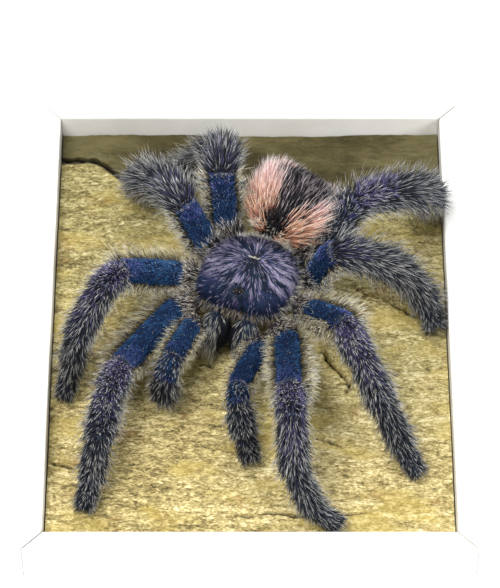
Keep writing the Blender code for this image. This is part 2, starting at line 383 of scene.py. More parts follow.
def srgb(r, g, b):
    """An 8 bit screen colour as linear light."""
    out = []
    for c in (r, g, b):
        c /= 255.0
        out.append(c / 12.92 if c <= 0.04045 else ((c + 0.055) / 1.055) ** 2.4)
    return tuple(out)


# ----- limb fur palette: bands across the map, each with some variation
# 0.00-0.20 blue pile, 0.20-0.40 slate pile, 0.40-0.62 dark bristle with pale
# tip, 0.62-0.80 tan fringe, 0.80-1.00 grey tan fuzz
LIMB_FUR = [
    (0.00, srgb(2, 6, 16), srgb(5, 20, 44), srgb(14, 42, 78)),
    (0.08, srgb(2, 12, 30), srgb(7, 38, 80), srgb(26, 76, 128)),
    (0.13, srgb(4, 20, 42), srgb(16, 62, 104), srgb(66, 122, 160)),
    # violet, used for the painted sheen by the knee
    (0.17, srgb(12, 12, 38), srgb(42, 44, 106), srgb(98, 98, 164)),
    (0.21, srgb(8, 9, 13), srgb(22, 25, 34), srgb(44, 50, 62)),
    (0.32, srgb(9, 11, 18), srgb(34, 40, 52), srgb(76, 86, 102)),
    # violet slate: the patella's and tibia's violet tint, painted as sheen on top
    (0.39, srgb(16, 14, 32), srgb(64, 57, 102), srgb(136, 126, 180)),
    (0.42, srgb(8, 9, 12), srgb(34, 37, 44), srgb(150, 154, 160)),
    (0.50, srgb(9, 10, 13), srgb(52, 55, 61), srgb(212, 212, 208)),
    (0.60, srgb(12, 12, 15), srgb(76, 77, 80), srgb(250, 248, 240)),
    (0.64, srgb(30, 26, 19), srgb(126, 116, 88), srgb(214, 204, 168)),
    (0.78, srgb(46, 40, 29), srgb(166, 153, 116), srgb(246, 238, 206)),
    (0.82, srgb(10, 10, 11), srgb(66, 66, 70), srgb(170, 172, 168)),
    (0.91, srgb(20, 13, 10), srgb(104, 86, 72), srgb(206, 188, 162)),
    (1.00, srgb(24, 24, 24), srgb(136, 134, 124), srgb(244, 240, 226)),
]
BODY_FUR = [
    # carapace silk: navy, slate blue, blue violet, mauve, then rim hair
    (0.00, srgb(4, 6, 12), srgb(13, 18, 31), srgb(30, 38, 60)),
    (0.16, srgb(7, 15, 28), srgb(36, 58, 90), srgb(80, 108, 146)),
    (0.32, srgb(12, 13, 34), srgb(46, 48, 98), srgb(88, 90, 150)),
    (0.46, srgb(24, 20, 38), srgb(106, 99, 140), srgb(176, 167, 208)),
    (0.62, srgb(44, 40, 58), srgb(156, 147, 180), srgb(232, 226, 242)),
    (0.68, srgb(22, 17, 14), srgb(104, 88, 70), srgb(180, 160, 130)),
    (0.84, srgb(18, 18, 18), srgb(104, 104, 100), srgb(196, 194, 184)),
    (1.00, srgb(54, 53, 50), srgb(176, 172, 160), srgb(248, 246, 236)),
]
ABDOMEN_FUR = [
    # black, charcoal, mauve grey | orange | salmon | pink | cream | deep salmon
    (0.00, srgb(5, 5, 7), srgb(13, 13, 16), srgb(28, 28, 32)),
    (0.16, srgb(7, 7, 9), srgb(26, 25, 29), srgb(86, 82, 88)),
    (0.26, srgb(16, 14, 18), srgb(110, 100, 108), srgb(232, 222, 226)),
    (0.30, srgb(40, 16, 9), srgb(222, 154, 114), srgb(255, 226, 194)),
    (0.44, srgb(44, 19, 16), srgb(230, 172, 154), srgb(255, 236, 225)),
    (0.58, srgb(48, 22, 22), srgb(232, 180, 176), srgb(255, 238, 236)),
    (0.74, srgb(70, 44, 42), srgb(230, 196, 190), srgb(255, 244, 240)),
    (0.80, srgb(84, 78, 66), srgb(188, 180, 160), srgb(238, 232, 214)),
    (0.87, srgb(104, 98, 84), srgb(206, 200, 182), srgb(246, 242, 228)),
    (0.91, srgb(30, 12, 9), srgb(156, 94, 76), srgb(226, 166, 146)),
    (1.00, srgb(30, 12, 11), srgb(158, 98, 88), srgb(224, 166, 154)),
]


def make_materials():
    m = {}
    m["limb_fur"] = fur_material("limb fur", LIMB_FUR, 0.55, 0.25)
    m["body_fur"] = fur_material("carapace silk", BODY_FUR, 0.42, 0.3)
    m["abdomen_fur"] = fur_material("abdomen hair", ABDOMEN_FUR, 0.5, 0.2)

    # skin of a limb: the map's v counts sections, six of them
    t = Nodes("limb skin")
    u, v = t.uv()
    blue, slate, pale = srgb(6, 24, 54), srgb(14, 16, 22), srgb(52, 60, 76)
    section = t.ramp(v, [(0.0, srgb(46, 38, 33)), (0.15, srgb(36, 32, 32)), (0.19, blue),
                         (0.32, blue), (0.345, slate), (1.0, slate)])
    grain = t.noise(t.coords((1, 1, 1)), 900.0, 3.0, 0.6)
    col = t.mix(t.ramp(grain, [(0.35, (0, 0, 0)), (0.85, (0.6, 0.6, 0.6))]), section, srgb(26, 34, 58))
    saw = t.math("FRACT", t.math("MULTIPLY", v, 6.0))
    edge = t.math("ABSOLUTE", t.math("SUBTRACT", saw, 0.5))
    ring = t.ramp(edge, [(0.468, (0, 0, 0)), (0.490, (1, 1, 1))])
    inner = t.ramp(v, [(0.15, (0, 0, 0)), (0.17, (1, 1, 1)), (0.96, (1, 1, 1)), (0.98, (0, 0, 0))])
    col = t.mix(t.math("MULTIPLY", ring, inner), col, pale)
    t.bump(grain, 0.5, 0.0002)
    m["limb_skin"] = t.finish(col, t.ramp(grain, [(0.3, (0.75,) * 3), (0.8, (0.9,) * 3)]), Specular_IOR_Level=0.12)

    t = Nodes("carapace shell")
    vec = t.coords()
    coarse = t.noise(vec, 260.0, 4.0, 0.55)
    fine = t.noise(vec, 1500.0, 3.0, 0.6)
    col = t.ramp(coarse, [(0.3, srgb(14, 16, 28)), (0.55, srgb(26, 30, 52)), (0.8, srgb(58, 54, 82))])
    t.bump(fine, 0.6, 0.00015)
    m["carapace"] = t.finish(col, t.ramp(fine, [(0.3, (0.5,) * 3), (0.8, (0.7,) * 3)]),
                             Specular_IOR_Level=0.3)

    t = Nodes("abdomen skin")
    u, v = t.uv()
    dark = t.ramp(u, [(0.0, srgb(52, 24, 19)), (0.30, srgb(52, 24, 19)), (0.36, srgb(12, 11, 13)),
                      (0.64, srgb(12, 11, 13)), (0.70, srgb(52, 24, 19)), (1.0, srgb(52, 24, 19))])
    fine = t.noise(t.coords(), 1200.0, 3.0, 0.6)
    col = t.mix(t.ramp(fine, [(0.3, (0, 0, 0)), (0.9, (1, 1, 1))]), dark, srgb(46, 24, 24))
    t.bump(fine, 0.6, 0.0002)
    m["abdomen"] = t.finish(col, t.ramp(fine, [(0.3, (0.8,) * 3), (0.8, (0.95,) * 3)]), Specular_IOR_Level=0.1)

    t = Nodes("jaw shell")
    fine = t.noise(t.coords(), 1300.0, 3.0, 0.6)
    col = t.ramp(fine, [(0.3, srgb(8, 12, 20)), (0.8, srgb(22, 32, 54))])
    t.bump(fine, 0.5, 0.00015)
    m["jaw"] = t.finish(col, t.ramp(fine, [(0.3, (0.6,) * 3), (0.8, (0.8,) * 3)]), Specular_IOR_Level=0.2)

    t = Nodes("eye mound")
    fine = t.noise(t.coords(), 1700.0, 3.0, 0.6)
    col = t.ramp(fine, [(0.3, srgb(7, 7, 9)), (0.8, srgb(24, 22, 28))])
    t.bump(fine, 0.5, 0.0001)
    m["eye_seat"] = t.finish(col, 0.8, Specular_IOR_Level=0.15)

    t = Nodes("black horn")
    fine = t.noise(t.coords(), 2200.0, 2.0, 0.5)
    col = t.ramp(fine, [(0.3, srgb(12, 8, 9)), (0.9, srgb(40, 18, 14))])
    t.bump(fine, 0.15, 0.00005)
    m["horn"] = t.finish(col, t.ramp(fine, [(0.3, (0.16,) * 3), (0.8, (0.3,) * 3)]), Coat_Weight=0.4)

    t = Nodes("pale waist skin")
    fine = t.noise(t.coords(), 1400.0, 3.0, 0.6)
    col = t.ramp(fine, [(0.3, srgb(150, 140, 124)), (0.8, srgb(206, 198, 182))])
    t.bump(fine, 0.4, 0.0001)
    m["waist"] = t.finish(col, 0.7)

    m["bark"] = bark_material("yellow tan bark", dark=False)
    m["bark_rear"] = bark_material("olive brown bark", dark=True)

    t = Nodes("white painted wood")
    brush = t.noise(t.coords((90, 90, 90)), 1.6, 3.0, 0.5)
    speck = t.noise(t.coords((1, 1, 1)), 420.0, 3.0, 0.6)
    col = t.mix(t.ramp(brush, [(0.35, (0, 0, 0)), (0.75, (1, 1, 1))]),
                srgb(238, 237, 234), srgb(230, 229, 225))
    t.bump(t.math("ADD", t.math("MULTIPLY", brush, 0.5), speck), 0.12, 0.0002)
    m["white"] = t.finish(col, t.ramp(speck, [(0.3, (0.38,) * 3), (0.8, (0.52,) * 3)]))

    t = Nodes("backing board")
    flakes = t.noise(t.coords((1, 1, 1)), 300.0, 6.0, 0.7)
    fine = t.noise(t.coords((1, 1, 1)), 1800.0, 3.0, 0.6)
    col = t.ramp(flakes, [(0.3, srgb(122, 96, 66)), (0.55, srgb(156, 128, 92)), (0.8, srgb(184, 158, 120))])
    t.bump(fine, 0.4, 0.0002)
    m["board"] = t.finish(col, 0.85)
    return m


def bark_material(name, dark):
    t = Nodes(name)
    patch = t.noise(t.coords((26, 44, 40)), 1.0, 4.0, 0.55)
    streak = t.noise(t.coords((120, 400, 300), 0.10), 1.0, 6.0, 0.62, 0.5)
    mottle = t.noise(t.coords((560, 1250, 1000), -0.12), 1.0, 5.0, 0.70, 0.8)
    grain = t.noise(t.coords((1500, 2600, 2200), 0.2), 1.0, 2.0, 0.6)
    weights = (1.00, 0.55, 0.30, 0.15) if dark else (0.30, 0.40, 0.85, 0.45)
    tone = t.math("ADD", t.math("MULTIPLY", patch, weights[0]), t.math("MULTIPLY", streak, weights[1]))
    tone = t.math("ADD", tone, t.math("MULTIPLY", mottle, weights[2]))
    tone = t.math("ADD", tone, t.math("MULTIPLY", grain, weights[3]))
    tone = t.math("MULTIPLY", tone, 0.5)
    if dark:
        stops = [(0.40, srgb(52, 46, 25)), (0.47, srgb(76, 69, 41)), (0.53, srgb(94, 87, 55)),
                 (0.62, srgb(114, 107, 74))]
    else:
        stops = [(0.385, srgb(66, 58, 38)), (0.435, srgb(116, 104, 68)), (0.480, srgb(154, 141, 93)),
                 (0.52, srgb(188, 174, 122)), (0.565, srgb(220, 208, 160)), (0.61, srgb(246, 238, 200))]
    base = t.ramp(tone, stops)
    sep = t.new("ShaderNodeSeparateXYZ")
    tex = t.new("ShaderNodeTexCoord")
    t.link(tex.outputs["Object"], sep.inputs["Vector"])
    if not dark:
        # the far part is greener and darker, the near part warm and pale
        far = t.new("ShaderNodeMapRange")
        far.inputs["From Min"].default_value = -0.050
        far.inputs["From Max"].default_value = 0.040
        t.link(sep.outputs["Y"], far.inputs["Value"])
        wobble = t.math("ADD", far.outputs["Result"], t.math("MULTIPLY", t.math("SUBTRACT", patch, 0.5), 1.2))
        shade = t.ramp(wobble, [(0.1, (1.12, 1.09, 1.05)), (0.5, (0.98, 0.98, 0.95)), (0.9, (0.78, 0.79, 0.74))])
        base = t.mix(1.0, base, shade, "MULTIPLY")
        yellow = t.ramp(t.noise(t.coords((60, 110, 100)), 1.0, 4.0, 0.6), [(0.52, (0, 0, 0)), (0.64, (1, 1, 1))])
        base = t.mix(t.math("MULTIPLY", yellow, 0.45), base, srgb(190, 168, 84))
        rust = t.ramp(t.noise(t.coords((150, 260, 200), 0.3), 1.0, 4.0, 0.6), [(0.60, (0, 0, 0)), (0.70, (1, 1, 1))])
        base = t.mix(t.math("MULTIPLY", rust, 0.35), base, srgb(150, 108, 62))
    # painted shade: low in the splits and down the sides of the slabs the colour goes near black
    deep = t.new("ShaderNodeMapRange")
    deep.inputs["From Min"].default_value = 0.0050 if not dark else 0.0036
    deep.inputs["From Max"].default_value = 0.0062 if not dark else 0.0048
    t.link(sep.outputs["Z"], deep.inputs["Value"])
    base = t.mix(deep.outputs["Result"], srgb(26, 22, 14), base)
    t.bump(t.math("ADD", t.math("ADD", streak, mottle), t.math("MULTIPLY", grain, 0.6)), 0.9, 0.0004)
    return t.finish(base, t.ramp(mottle, [(0.3, (0.95,) * 3), (0.8, (0.80,) * 3)]), Specular_IOR_Level=0.25)


MATS = make_materials()


def ride(ob, slot, *nodes):
    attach(ob, "root")
    if nodes:
        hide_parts(*nodes)
    return ob


# --------------------------------------------------------------- limbs ----
def heading(azimuth, slope):
    az, el = math.radians(azimuth), math.radians(slope)
    return np.array([math.cos(el) * math.cos(az), math.cos(el) * math.sin(az), math.sin(el)])


class Limb:
    """A limb as rings along a smooth line through its joints."""

    def __init__(self, kind, side):
        self.kind, self.side = kind, side
        ahead, out, height, stub = ROOTS[kind]
        sign = 1.0 if side == "left" else -1.0
        root = body_point(ahead, out * sign, height)
        inward = unit(body_point(ahead * 0.35, 0.0, height - 0.8) - root)
        joints = [root + inward * stub, root]
        for length, (az, el) in zip(SECTIONS[kind], POSE[(kind, side)]):
            joints.append(joints[-1] + heading(az, el) * length)
        girth = (GIRTH[kind][0] * 0.95,) + GIRTH[kind]
        # section numbers shared by all limbs: palps have no metatarsus (4)
        self.numbers = (0, 1, 2, 3, 5) if kind == "palp" else (0, 1, 2, 3, 4, 5)
        pts, secs, along, rad = [], [], [], []
        last = len(girth) - 1
        for i, r in enumerate(girth):
            a, b = joints[i], joints[i + 1]
            length = np.linalg.norm(b - a)
            steps = max(6, int(length / 0.42))
            for k in range(steps + (1 if i == last else 0)):
                s = k / steps
                p = a + (b - a) * s
                # round the corner at each joint, inside the straight one
                reach = 1.9
                for joint, other, near in ((i, a, s * length), (i + 1, b, (1 - s) * length)):
                    if 0 < joint <= last and near < reach:
                        q, w = joints[joint - 1], joints[joint + 1]
                        pull = (unit(q - other) + unit(w - other)) * 0.5
                        p = p + pull * (reach - near) ** 2 / reach * 0.5
                if i == last:
                    shape = np.interp(s, [0, .06, .2, .55, .85, 1.0], [.84, .92, 1, .98, .8, .5])
                elif i == 0:
                    shape = np.interp(s, [0, .1, .5, .9, 1], [.9, 1, 1, .95, .86])
                else:
                    end = min(0.2, 0.9 / length)
                    shape = np.interp(s, [0, end * .5, end * 1.6, .5, 1 - end * 1.6, 1 - end * .5, 1],
                                      [.84, .9, .98, 1.03, .99, .92, .84])
                pts.append(p)
                secs.append(self.numbers[i])
                along.append(s)
                rad.append(r * shape)
        self.p = np.array(pts)
        self.sec = np.array(secs)
        self.s = np.array(along)
        self.r = np.array(rad)
        self.t = unit(np.gradient(self.p, axis=0))
        # dorsal direction at every ring, carried smoothly
        d = UP - self.t * (self.t @ UP)[:, None]
        self.d = unit(d)
        for k in range(1, len(self.d)):
            v = self.d[k - 1] - self.t[k] * (self.t[k] @ self.d[k - 1])
            self.d[k] = unit(0.75 * unit(v) + 0.25 * self.d[k])
            self.d[k] = unit(self.d[k] - self.t[k] * (self.t[k] @ self.d[k]))
        self.e = np.cross(self.t, self.d)
        self.len = np.concatenate([[0], np.cumsum(np.linalg.norm(np.diff(self.p, axis=0), axis=1))])
        self.girth = dict(zip(self.numbers, girth))
        self.length = dict(zip(self.numbers, [np.linalg.norm(b - a) for a, b in zip(joints, joints[1:])]))
        self.joints = joints

    def core(self, name, around=20):
        n = len(self.p)
        ang = np.linspace(0, 2 * math.pi, around, endpoint=False)
        ring = (self.d[:, None, :] * np.cos(ang)[None, :, None]
                + self.e[:, None, :] * np.sin(ang)[None, :, None])
        verts = (self.p[:, None, :] + ring * self.r[:, None, None]).reshape(-1, 3)
        faces, uvs = [], []
        v = (self.sec + self.s * 0.999) / 6.0
        for k in range(n - 1):
            v0 = v[k]
            v1 = v[k + 1] if self.sec[k + 1] == self.sec[k] else (self.sec[k] + 0.999) / 6.0
            for i in range(around):
                j = (i + 1) % around
                faces.append((k * around + i, k * around + j, (k + 1) * around + j, (k + 1) * around + i))
                u0, u1 = i / around, (i + 1) / around
                uvs += [(u0, v0), (u1, v0), (u1, v1), (u0, v1)]
        # domed ends
        for end, step in ((0, -1), (n - 1, 1)):
            tip = len(verts)
            verts = np.vstack([verts, self.p[end] + self.t[end] * step * self.r[end] * 0.55])
            for i in range(around):
                j = (i + 1) % around
                tri = (end * around + i, end * around + j, tip)
                faces.append(tri if step > 0 else tri[::-1])
                u0, u1 = i / around, (i + 1) / around
                w = v[end]
                quad = [(u0, w), (u1, w), ((u0 + u1) / 2, min(1.0, max(0.0, w + 0.004 * step)))]
                uvs += quad if step > 0 else quad[::-1]
        return mesh_piece(name, verts, faces, [MATS["limb_skin"]], uvs=uvs)

    def sample(self, rng, section, count, s_range=(0.0, 1.0), angle=None):
        """Random spots on a section: place, distal, normal, angle from top."""
        idx = np.where(self.sec == section)[0]
        lo, hi = idx[0], min(idx[-1] + 1, len(self.p) - 1)
        f = rng.uniform(*s_range, count) * (hi - lo) + lo
        k = np.clip(np.floor(f).astype(int), 0, len(self.p) - 2)
        w = (f - k)[:, None]
        mixd = lambda a: a[k] * (1 - w) + a[k + 1] * w
        p, t, d = mixd(self.p), unit(mixd(self.t)), unit(mixd(self.d))
        e = np.cross(t, d)
        r = self.r[k] * (1 - w[:, 0]) + self.r[k + 1] * w[:, 0]
        if angle is None:
            th = rng.uniform(-math.pi, math.pi, count)
        else:
            lo_a, hi_a = angle
            th = rng.uniform(lo_a, hi_a, count) * rng.choice([-1.0, 1.0], count)
        n = d * np.cos(th)[:, None] + e * np.sin(th)[:, None]
        return p + n * (r[:, None] * 0.97), t, n, th

    def area(self, section):
        return 2 * math.pi * self.girth[section] * self.length[section]


def jitter(rng, n, amount):
    return rng.normal(0.0, amount, (n, 3))


def brush(t, n, tilt):
    """Direction that leaves the surface at tilt degrees, swept distally."""
    tilt = np.radians(tilt)[:, None]
    return t * np.cos(tilt) + n * np.sin(tilt)


def limb_fur(limb, seed):
    rng = np.random.default_rng(seed)
    fur = Fur()
    palp = limb.kind == "palp"
    # the left hind thigh is shaggy and grey, with painted violet sheen only on top by the knee
    shaggy = limb.kind == "leg4" and limb.side == "left"
    hind = limb.kind in ("leg3", "leg4")
    blue = (1, 2) if palp else (1,)
    for sec in limb.numbers:
        # short velvet pile, bare over the soft skin at the section's ends
        ends = (0.0, 1.0) if sec == 0 else (0.035, 0.978)
        n = int(limb.area(sec) * (13 if sec in blue else 10 if sec in (2, 3) else 8))
        p, t, nrm, th = limb.sample(rng, sec, n, s_range=ends)
        way = np.einsum("ij,ij->i", p - limb.joints[sec if sec < 5 else -2], t) / limb.length[sec]
        grain = noise2(p[:, 0] * 0.6 + 3, p[:, 1] * 0.6 + p[:, 2] * 0.5, seed)
        fine = noise2(p[:, 0] * 2.1 + 3, p[:, 1] * 2.1 + p[:, 2] * 1.7, seed + 1)
        if sec in blue:
            tilt = rng.uniform(14, 34, n)
            pal = 0.02 + 0.12 * np.clip(0.45 + 0.8 * (grain - 0.5) + 0.9 * (fine - 0.5) + rng.normal(0, 0.30, n), 0, 1)
            if hind:
                pal = 0.02 + 0.6 * (pal - 0.02)
            # painted sheen: violet pile toward the knee end of the thigh
            violet_sheen = rng.random(n) < 0.75 * smooth((way - 0.62) / 0.25) * smooth((grain - 0.3) / 0.3)
            pal = np.where(violet_sheen, rng.uniform(0.145, 0.175, n), pal)
            size = rng.uniform(0.8, 1.4, n)
            if shaggy:
                pal = np.where(violet_sheen & (np.abs(th) < 1.3), rng.uniform(0.15, 0.19, n), 0.22 + 0.12 * fine)
                tilt, size = tilt + 16, size * 1.5
        elif sec == 0:
            tilt = rng.uniform(25, 70, n)
            pal = np.where(rng.random(n) < 0.5, rng.uniform(0.22, 0.34, n), rng.uniform(0.83, 0.98, n))
            size = rng.uniform(0.9, 1.8, n)
        else:
            tilt = rng.uniform(22, 48, n) + (10 if hind else 0)
            pal = 0.22 + (0.10 if hind else 0.13) * np.clip(0.5 * grain + 0.5 * fine + rng.normal(0, 0.15, n), 0, 1)
            # violet on the upper side of patella and tibia: partly the hair's own violet tint, partly painted sheen
            if sec == 2:
                violet_sheen = (np.abs(th) < 1.2) & (rng.random(n) < (1.0 if shaggy or not hind else 0.3) * (1.0 - 0.45 * way))
                pal = np.where(violet_sheen, rng.uniform(0.375, 0.395, n), pal)
            elif sec == 3 and limb.kind in ("leg1", "leg2"):
                violet_sheen = (np.abs(th) < 1.0) & (rng.random(n) < 0.75 - 0.8 * way)
                pal = np.where(violet_sheen, rng.uniform(0.375, 0.395, n), pal)
            size = rng.uniform(1.4, 2.7, n) * (1.35 if hind else 1.0)
        aim = brush(t, nrm, tilt) + jitter(rng, n, 0.12)
        fur.add(p, aim, size, 0.25 if sec in blue else 0.21, pal, steps=1)

    # long bristles, dark at the foot and pale toward the tip
    dense = {0: 6.0, 1: 3.4, 2: 4.1, 3: 4.1, 4: 4.1, 5: 4.2}
    reach = {0: (1.8, 3.8), 1: (2.0, 4.4), 2: (2.0, 4.5), 3: (2.2, 5.0), 4: (1.9, 4.5), 5: (1.4, 2.9)}
    for sec in limb.numbers:
        if sec == 1 and not shaggy:
            continue
        n = int(limb.area(sec) * dense[sec] * (0.8 if palp and sec == 2 else 1.0) * (0.97 if hind else 1.0))
        p, t, nrm, th = limb.sample(rng, sec, n, s_range=(0.02, 0.97))
        long = rng.random(n) ** 1.5
        lo, hi = reach[sec]
        size = (lo + (hi - lo) * long) * {"palp": 0.9, "leg3": 1.36, "leg4": 1.36}.get(limb.kind, 1.0)
        tilt = 28 + 34 * rng.random(n) + 6 * long + (8 if hind else 0)
        aim = brush(t, nrm, tilt) + jitter(rng, n, 0.13)
        lean = t * 0.30 + jitter(rng, n, 0.10)
        pal = rng.uniform(0.42, 0.535 if limb.side == "left" else 0.555, n) if hind else rng.uniform(0.43, 0.60, n)
        if sec == 0:
            pal = np.where(rng.random(n) < 0.45, rng.uniform(0.46, 0.60, n), rng.uniform(0.83, 0.98, n))
            aim = aim + UP * rng.uniform(0.0, 0.5, n)[:, None] + jitter(rng, n, 0.25)
        tan = (np.abs(th) > 1.9) & (rng.random(n) < (0.3 if hind else 0.5))
        pal = np.where(tan, rng.uniform(0.65, 0.78, n), pal)
        fur.add(p, aim, size, rng.uniform(0.13, 0.19, n), pal, lean=lean, steps=2)

    # femur: a velvet back between two dense fringes of tan hair
    scale = 0.75 if palp else 1.0
    n = int(limb.area(1) * (2.6 if shaggy else 5.2))
    p, t, nrm, th = limb.sample(rng, 1, n, angle=(1.45 if limb.kind == "leg3" else 1.1, 2.75))
    # the fringe is thickest and longest behind the limb
    rear = unit(-FORWARD + LEFT * (1.0 if limb.side == "left" else -1.0))
    keep = rng.random(n) < np.where(nrm @ rear > 0.0, 1.0, 0.68)
    p, t, nrm, th = p[keep], t[keep], nrm[keep], th[keep]
    n = len(p)
    size = rng.uniform(1.8, 4.6, n) * scale
    size = size * (1.0 + (0.15 if palp else 0.40) * np.clip(nrm @ rear, 0.0, 1.0))
    aim = brush(t, nrm, rng.uniform(48, 84, n)) + jitter(rng, n, 0.16) + UP * 0.12
    # the face of a steep thigh that looks up and ahead stays velvet
    bare = nrm @ np.array([0.0, -0.6, 0.8]) > 0.45
    size = np.where(bare, 0.9, size)
    pal = rng.uniform(0.64, 0.78, n)
    pal = np.where(rng.random(n) < (0.65 if hind else 0.34), rng.uniform(0.44, 0.58, n), pal)
    pal = np.where(bare, rng.uniform(0.03, 0.12, n), pal)
    fur.add(p, aim, size, rng.uniform(0.13, 0.19, n), pal, lean=t * 0.3 + jitter(rng, n, 0.14), steps=2)
    n = int(limb.area(1) * (0.9 if limb.kind == "leg4" else 0.4 if hind else 0.28))
    p, t, nrm, th = limb.sample(rng, 1, n, s_range=(0.05, 0.96))
    fur.add(p, brush(t, nrm, rng.uniform(25, 50, n)) + jitter(rng, n, 0.12), rng.uniform(0.7, 1.3, n), 0.13,
            rng.uniform(0.50, 0.60, n), lean=t * 0.3, steps=2)
    # a thin pale hem where the thigh ends
    n = 90
    p, t, nrm, th = limb.sample(rng, 1, n, s_range=(0.965, 0.995))
    fur.add(p + nrm * 0.15, brush(t, nrm, rng.uniform(25, 55, n)), rng.uniform(0.45, 0.75, n), 0.15,
            rng.uniform(0.95, 0.98, n), steps=1)
    # a few light hairs over each joint
    for sec in limb.numbers[1:]:
        n = 60
        p, t, nrm, th = limb.sample(rng, sec, n, s_range=(0.0, 0.06))
        fur.add(p, brush(t, nrm, rng.uniform(30, 70, n)), rng.uniform(0.7, 1.5, n), 0.14,
                rng.uniform(0.36, 0.56, n), lean=t * 0.2, steps=1)
    return fur


def build_limbs():
    seed = 100
    for side in ("left", "right"):
        for kind, node in (("palp", "pedipalp_" + side), ("leg1", "leg_1_" + side),
                           ("leg2", "leg_2_" + side), ("leg3", "leg_3_" + side),
                           ("leg4", "leg_4_" + side)):
            limb = Limb(kind, side)
            core = limb.core(node + "_skin")
            ride(core, "limb_slate", node)
            seed += 1
            fur = limb_fur(limb, seed).build(node + "_fur", MATS["limb_fur"])
            ride(fur, "limb_slate")


# ------------------------------------------------------------ carapace ----
def carapace_surface(x, y, z):
    """Unit sphere point to (ahead, side, height) of the front body."""
    turn = np.arctan2(y, x)
    square = np.where(y > 0, 3.0 + 0.9 * smooth(-1.6 * x), 2.3)
    swell = (np.abs(np.cos(turn)) ** square + np.abs(np.sin(turn)) ** square) ** (-1.0 / square)
    side = x * swell * (CARAPACE_W * 0.5 - 0.35) - 0.25
    ahead = y * swell * np.where(y > 0, CARAPACE_FRONT, CARAPACE_REAR)
    zu = np.maximum(z, 0.0)
    up = CARAPACE_RIM + (CARAPACE_TOP - CARAPACE_RIM) * zu ** 0.9
    up = up + 0.8 * np.maximum(0.0, y) * zu
    up = up - 1.1 * np.exp(-((side / 1.6) ** 2 + ((ahead + DIMPLE_BACK) / 1.3) ** 2))
    # grooves that run out from the dimple, and the edge of the head
    da, ds = ahead + DIMPLE_BACK, side
    dist = np.hypot(da, ds)
    ang = np.arctan2(ds, da)
    spokes = np.zeros_like(dist)
    for k in (0.62, 1.25, 1.85, 2.5):
        spokes = spokes + np.exp(-((np.abs(ang) - k) / 0.09) ** 2)
    up = up - 0.38 * spokes * smooth((dist - 1.0) / 2.0) * (1 - smooth((dist - 7.5) / 3.0)) * (zu > 0)
    down = CARAPACE_RIM + (CARAPACE_RIM - STERNUM_Z) * z
    tuck = np.where(z < 0, 1.0 + 0.16 * z, 1.0)
    height = np.where(z >= 0, up, down)
    return ahead * tuck, side * tuck, height


def sphere_grid(nu, nv):
    """Unit sphere rings from the top pole down, with UVs and quads."""
    th = np.linspace(0.0, math.pi, nv + 1)
    ph = np.linspace(0.0, 2 * math.pi, nu, endpoint=False)
    verts = [(0.0, 0.0, 1.0)]
    for t in th[1:-1]:
        for p in ph:
            verts.append((math.sin(t) * math.cos(p), math.sin(t) * math.sin(p), math.cos(t)))
    verts.append((0.0, 0.0, -1.0))
    faces, uvs = [], []
    ring = lambda k, i: 1 + (k - 1) * nu + i % nu
    for i in range(nu):
        faces.append((0, ring(1, i), ring(1, i + 1)))
        uvs += [((i + 0.5) / nu, 1.0), (i / nu, 1 - 1 / nv), ((i + 1) / nu, 1 - 1 / nv)]
    for k in range(1, nv - 1):
        for i in range(nu):
            faces.append((ring(k, i), ring(k + 1, i), ring(k + 1, i + 1), ring(k, i + 1)))
            uvs += [(i / nu, 1 - k / nv), (i / nu, 1 - (k + 1) / nv),
                    ((i + 1) / nu, 1 - (k + 1) / nv), ((i + 1) / nu, 1 - k / nv)]
    last = len(verts) - 1
    for i in range(nu):
        faces.append((last, ring(nv - 1, i + 1), ring(nv - 1, i)))
        uvs += [((i + 0.5) / nu, 0.0), ((i + 1) / nu, 1 / nv), (i / nu, 1 / nv)]
    return np.array(verts), faces, uvs


def outward(faces, uvs, verts):
    """Reverse every face if the closed shape is inside out."""
    total = 0.0
    for f in faces:
        a = verts[f[0]]
        for i in range(1, len(f) - 1):
            total += np.dot(a, np.cross(verts[f[i]], verts[f[i + 1]]))
    if total < 0:
        new, k = [], 0
        turned = []
        for f in faces:
            new.append(tuple(f[::-1]))
            turned += uvs[k:k + len(f)][::-1]
            k += len(f)
        return new, turned
    return faces, uvs


def surface_samples(rng, shape, count):
    """Random spots and outward normals on a shape that maps the sphere."""
    v = unit(rng.normal(size=(count, 3)))
    p = shape(v)
    ref = np.where(np.abs(v[:, 2:3]) > 0.9, np.array([[1.0, 0, 0]]), np.array([[0, 0, 1.0]]))
    a = unit(np.cross(v, ref))
    b = np.cross(v, a)
    h = 0.004
    pa, pb = shape(unit(v + a * h)), shape(unit(v + b * h))
    n = unit(np.cross(pa - p, pb - p))
    return v, p, n


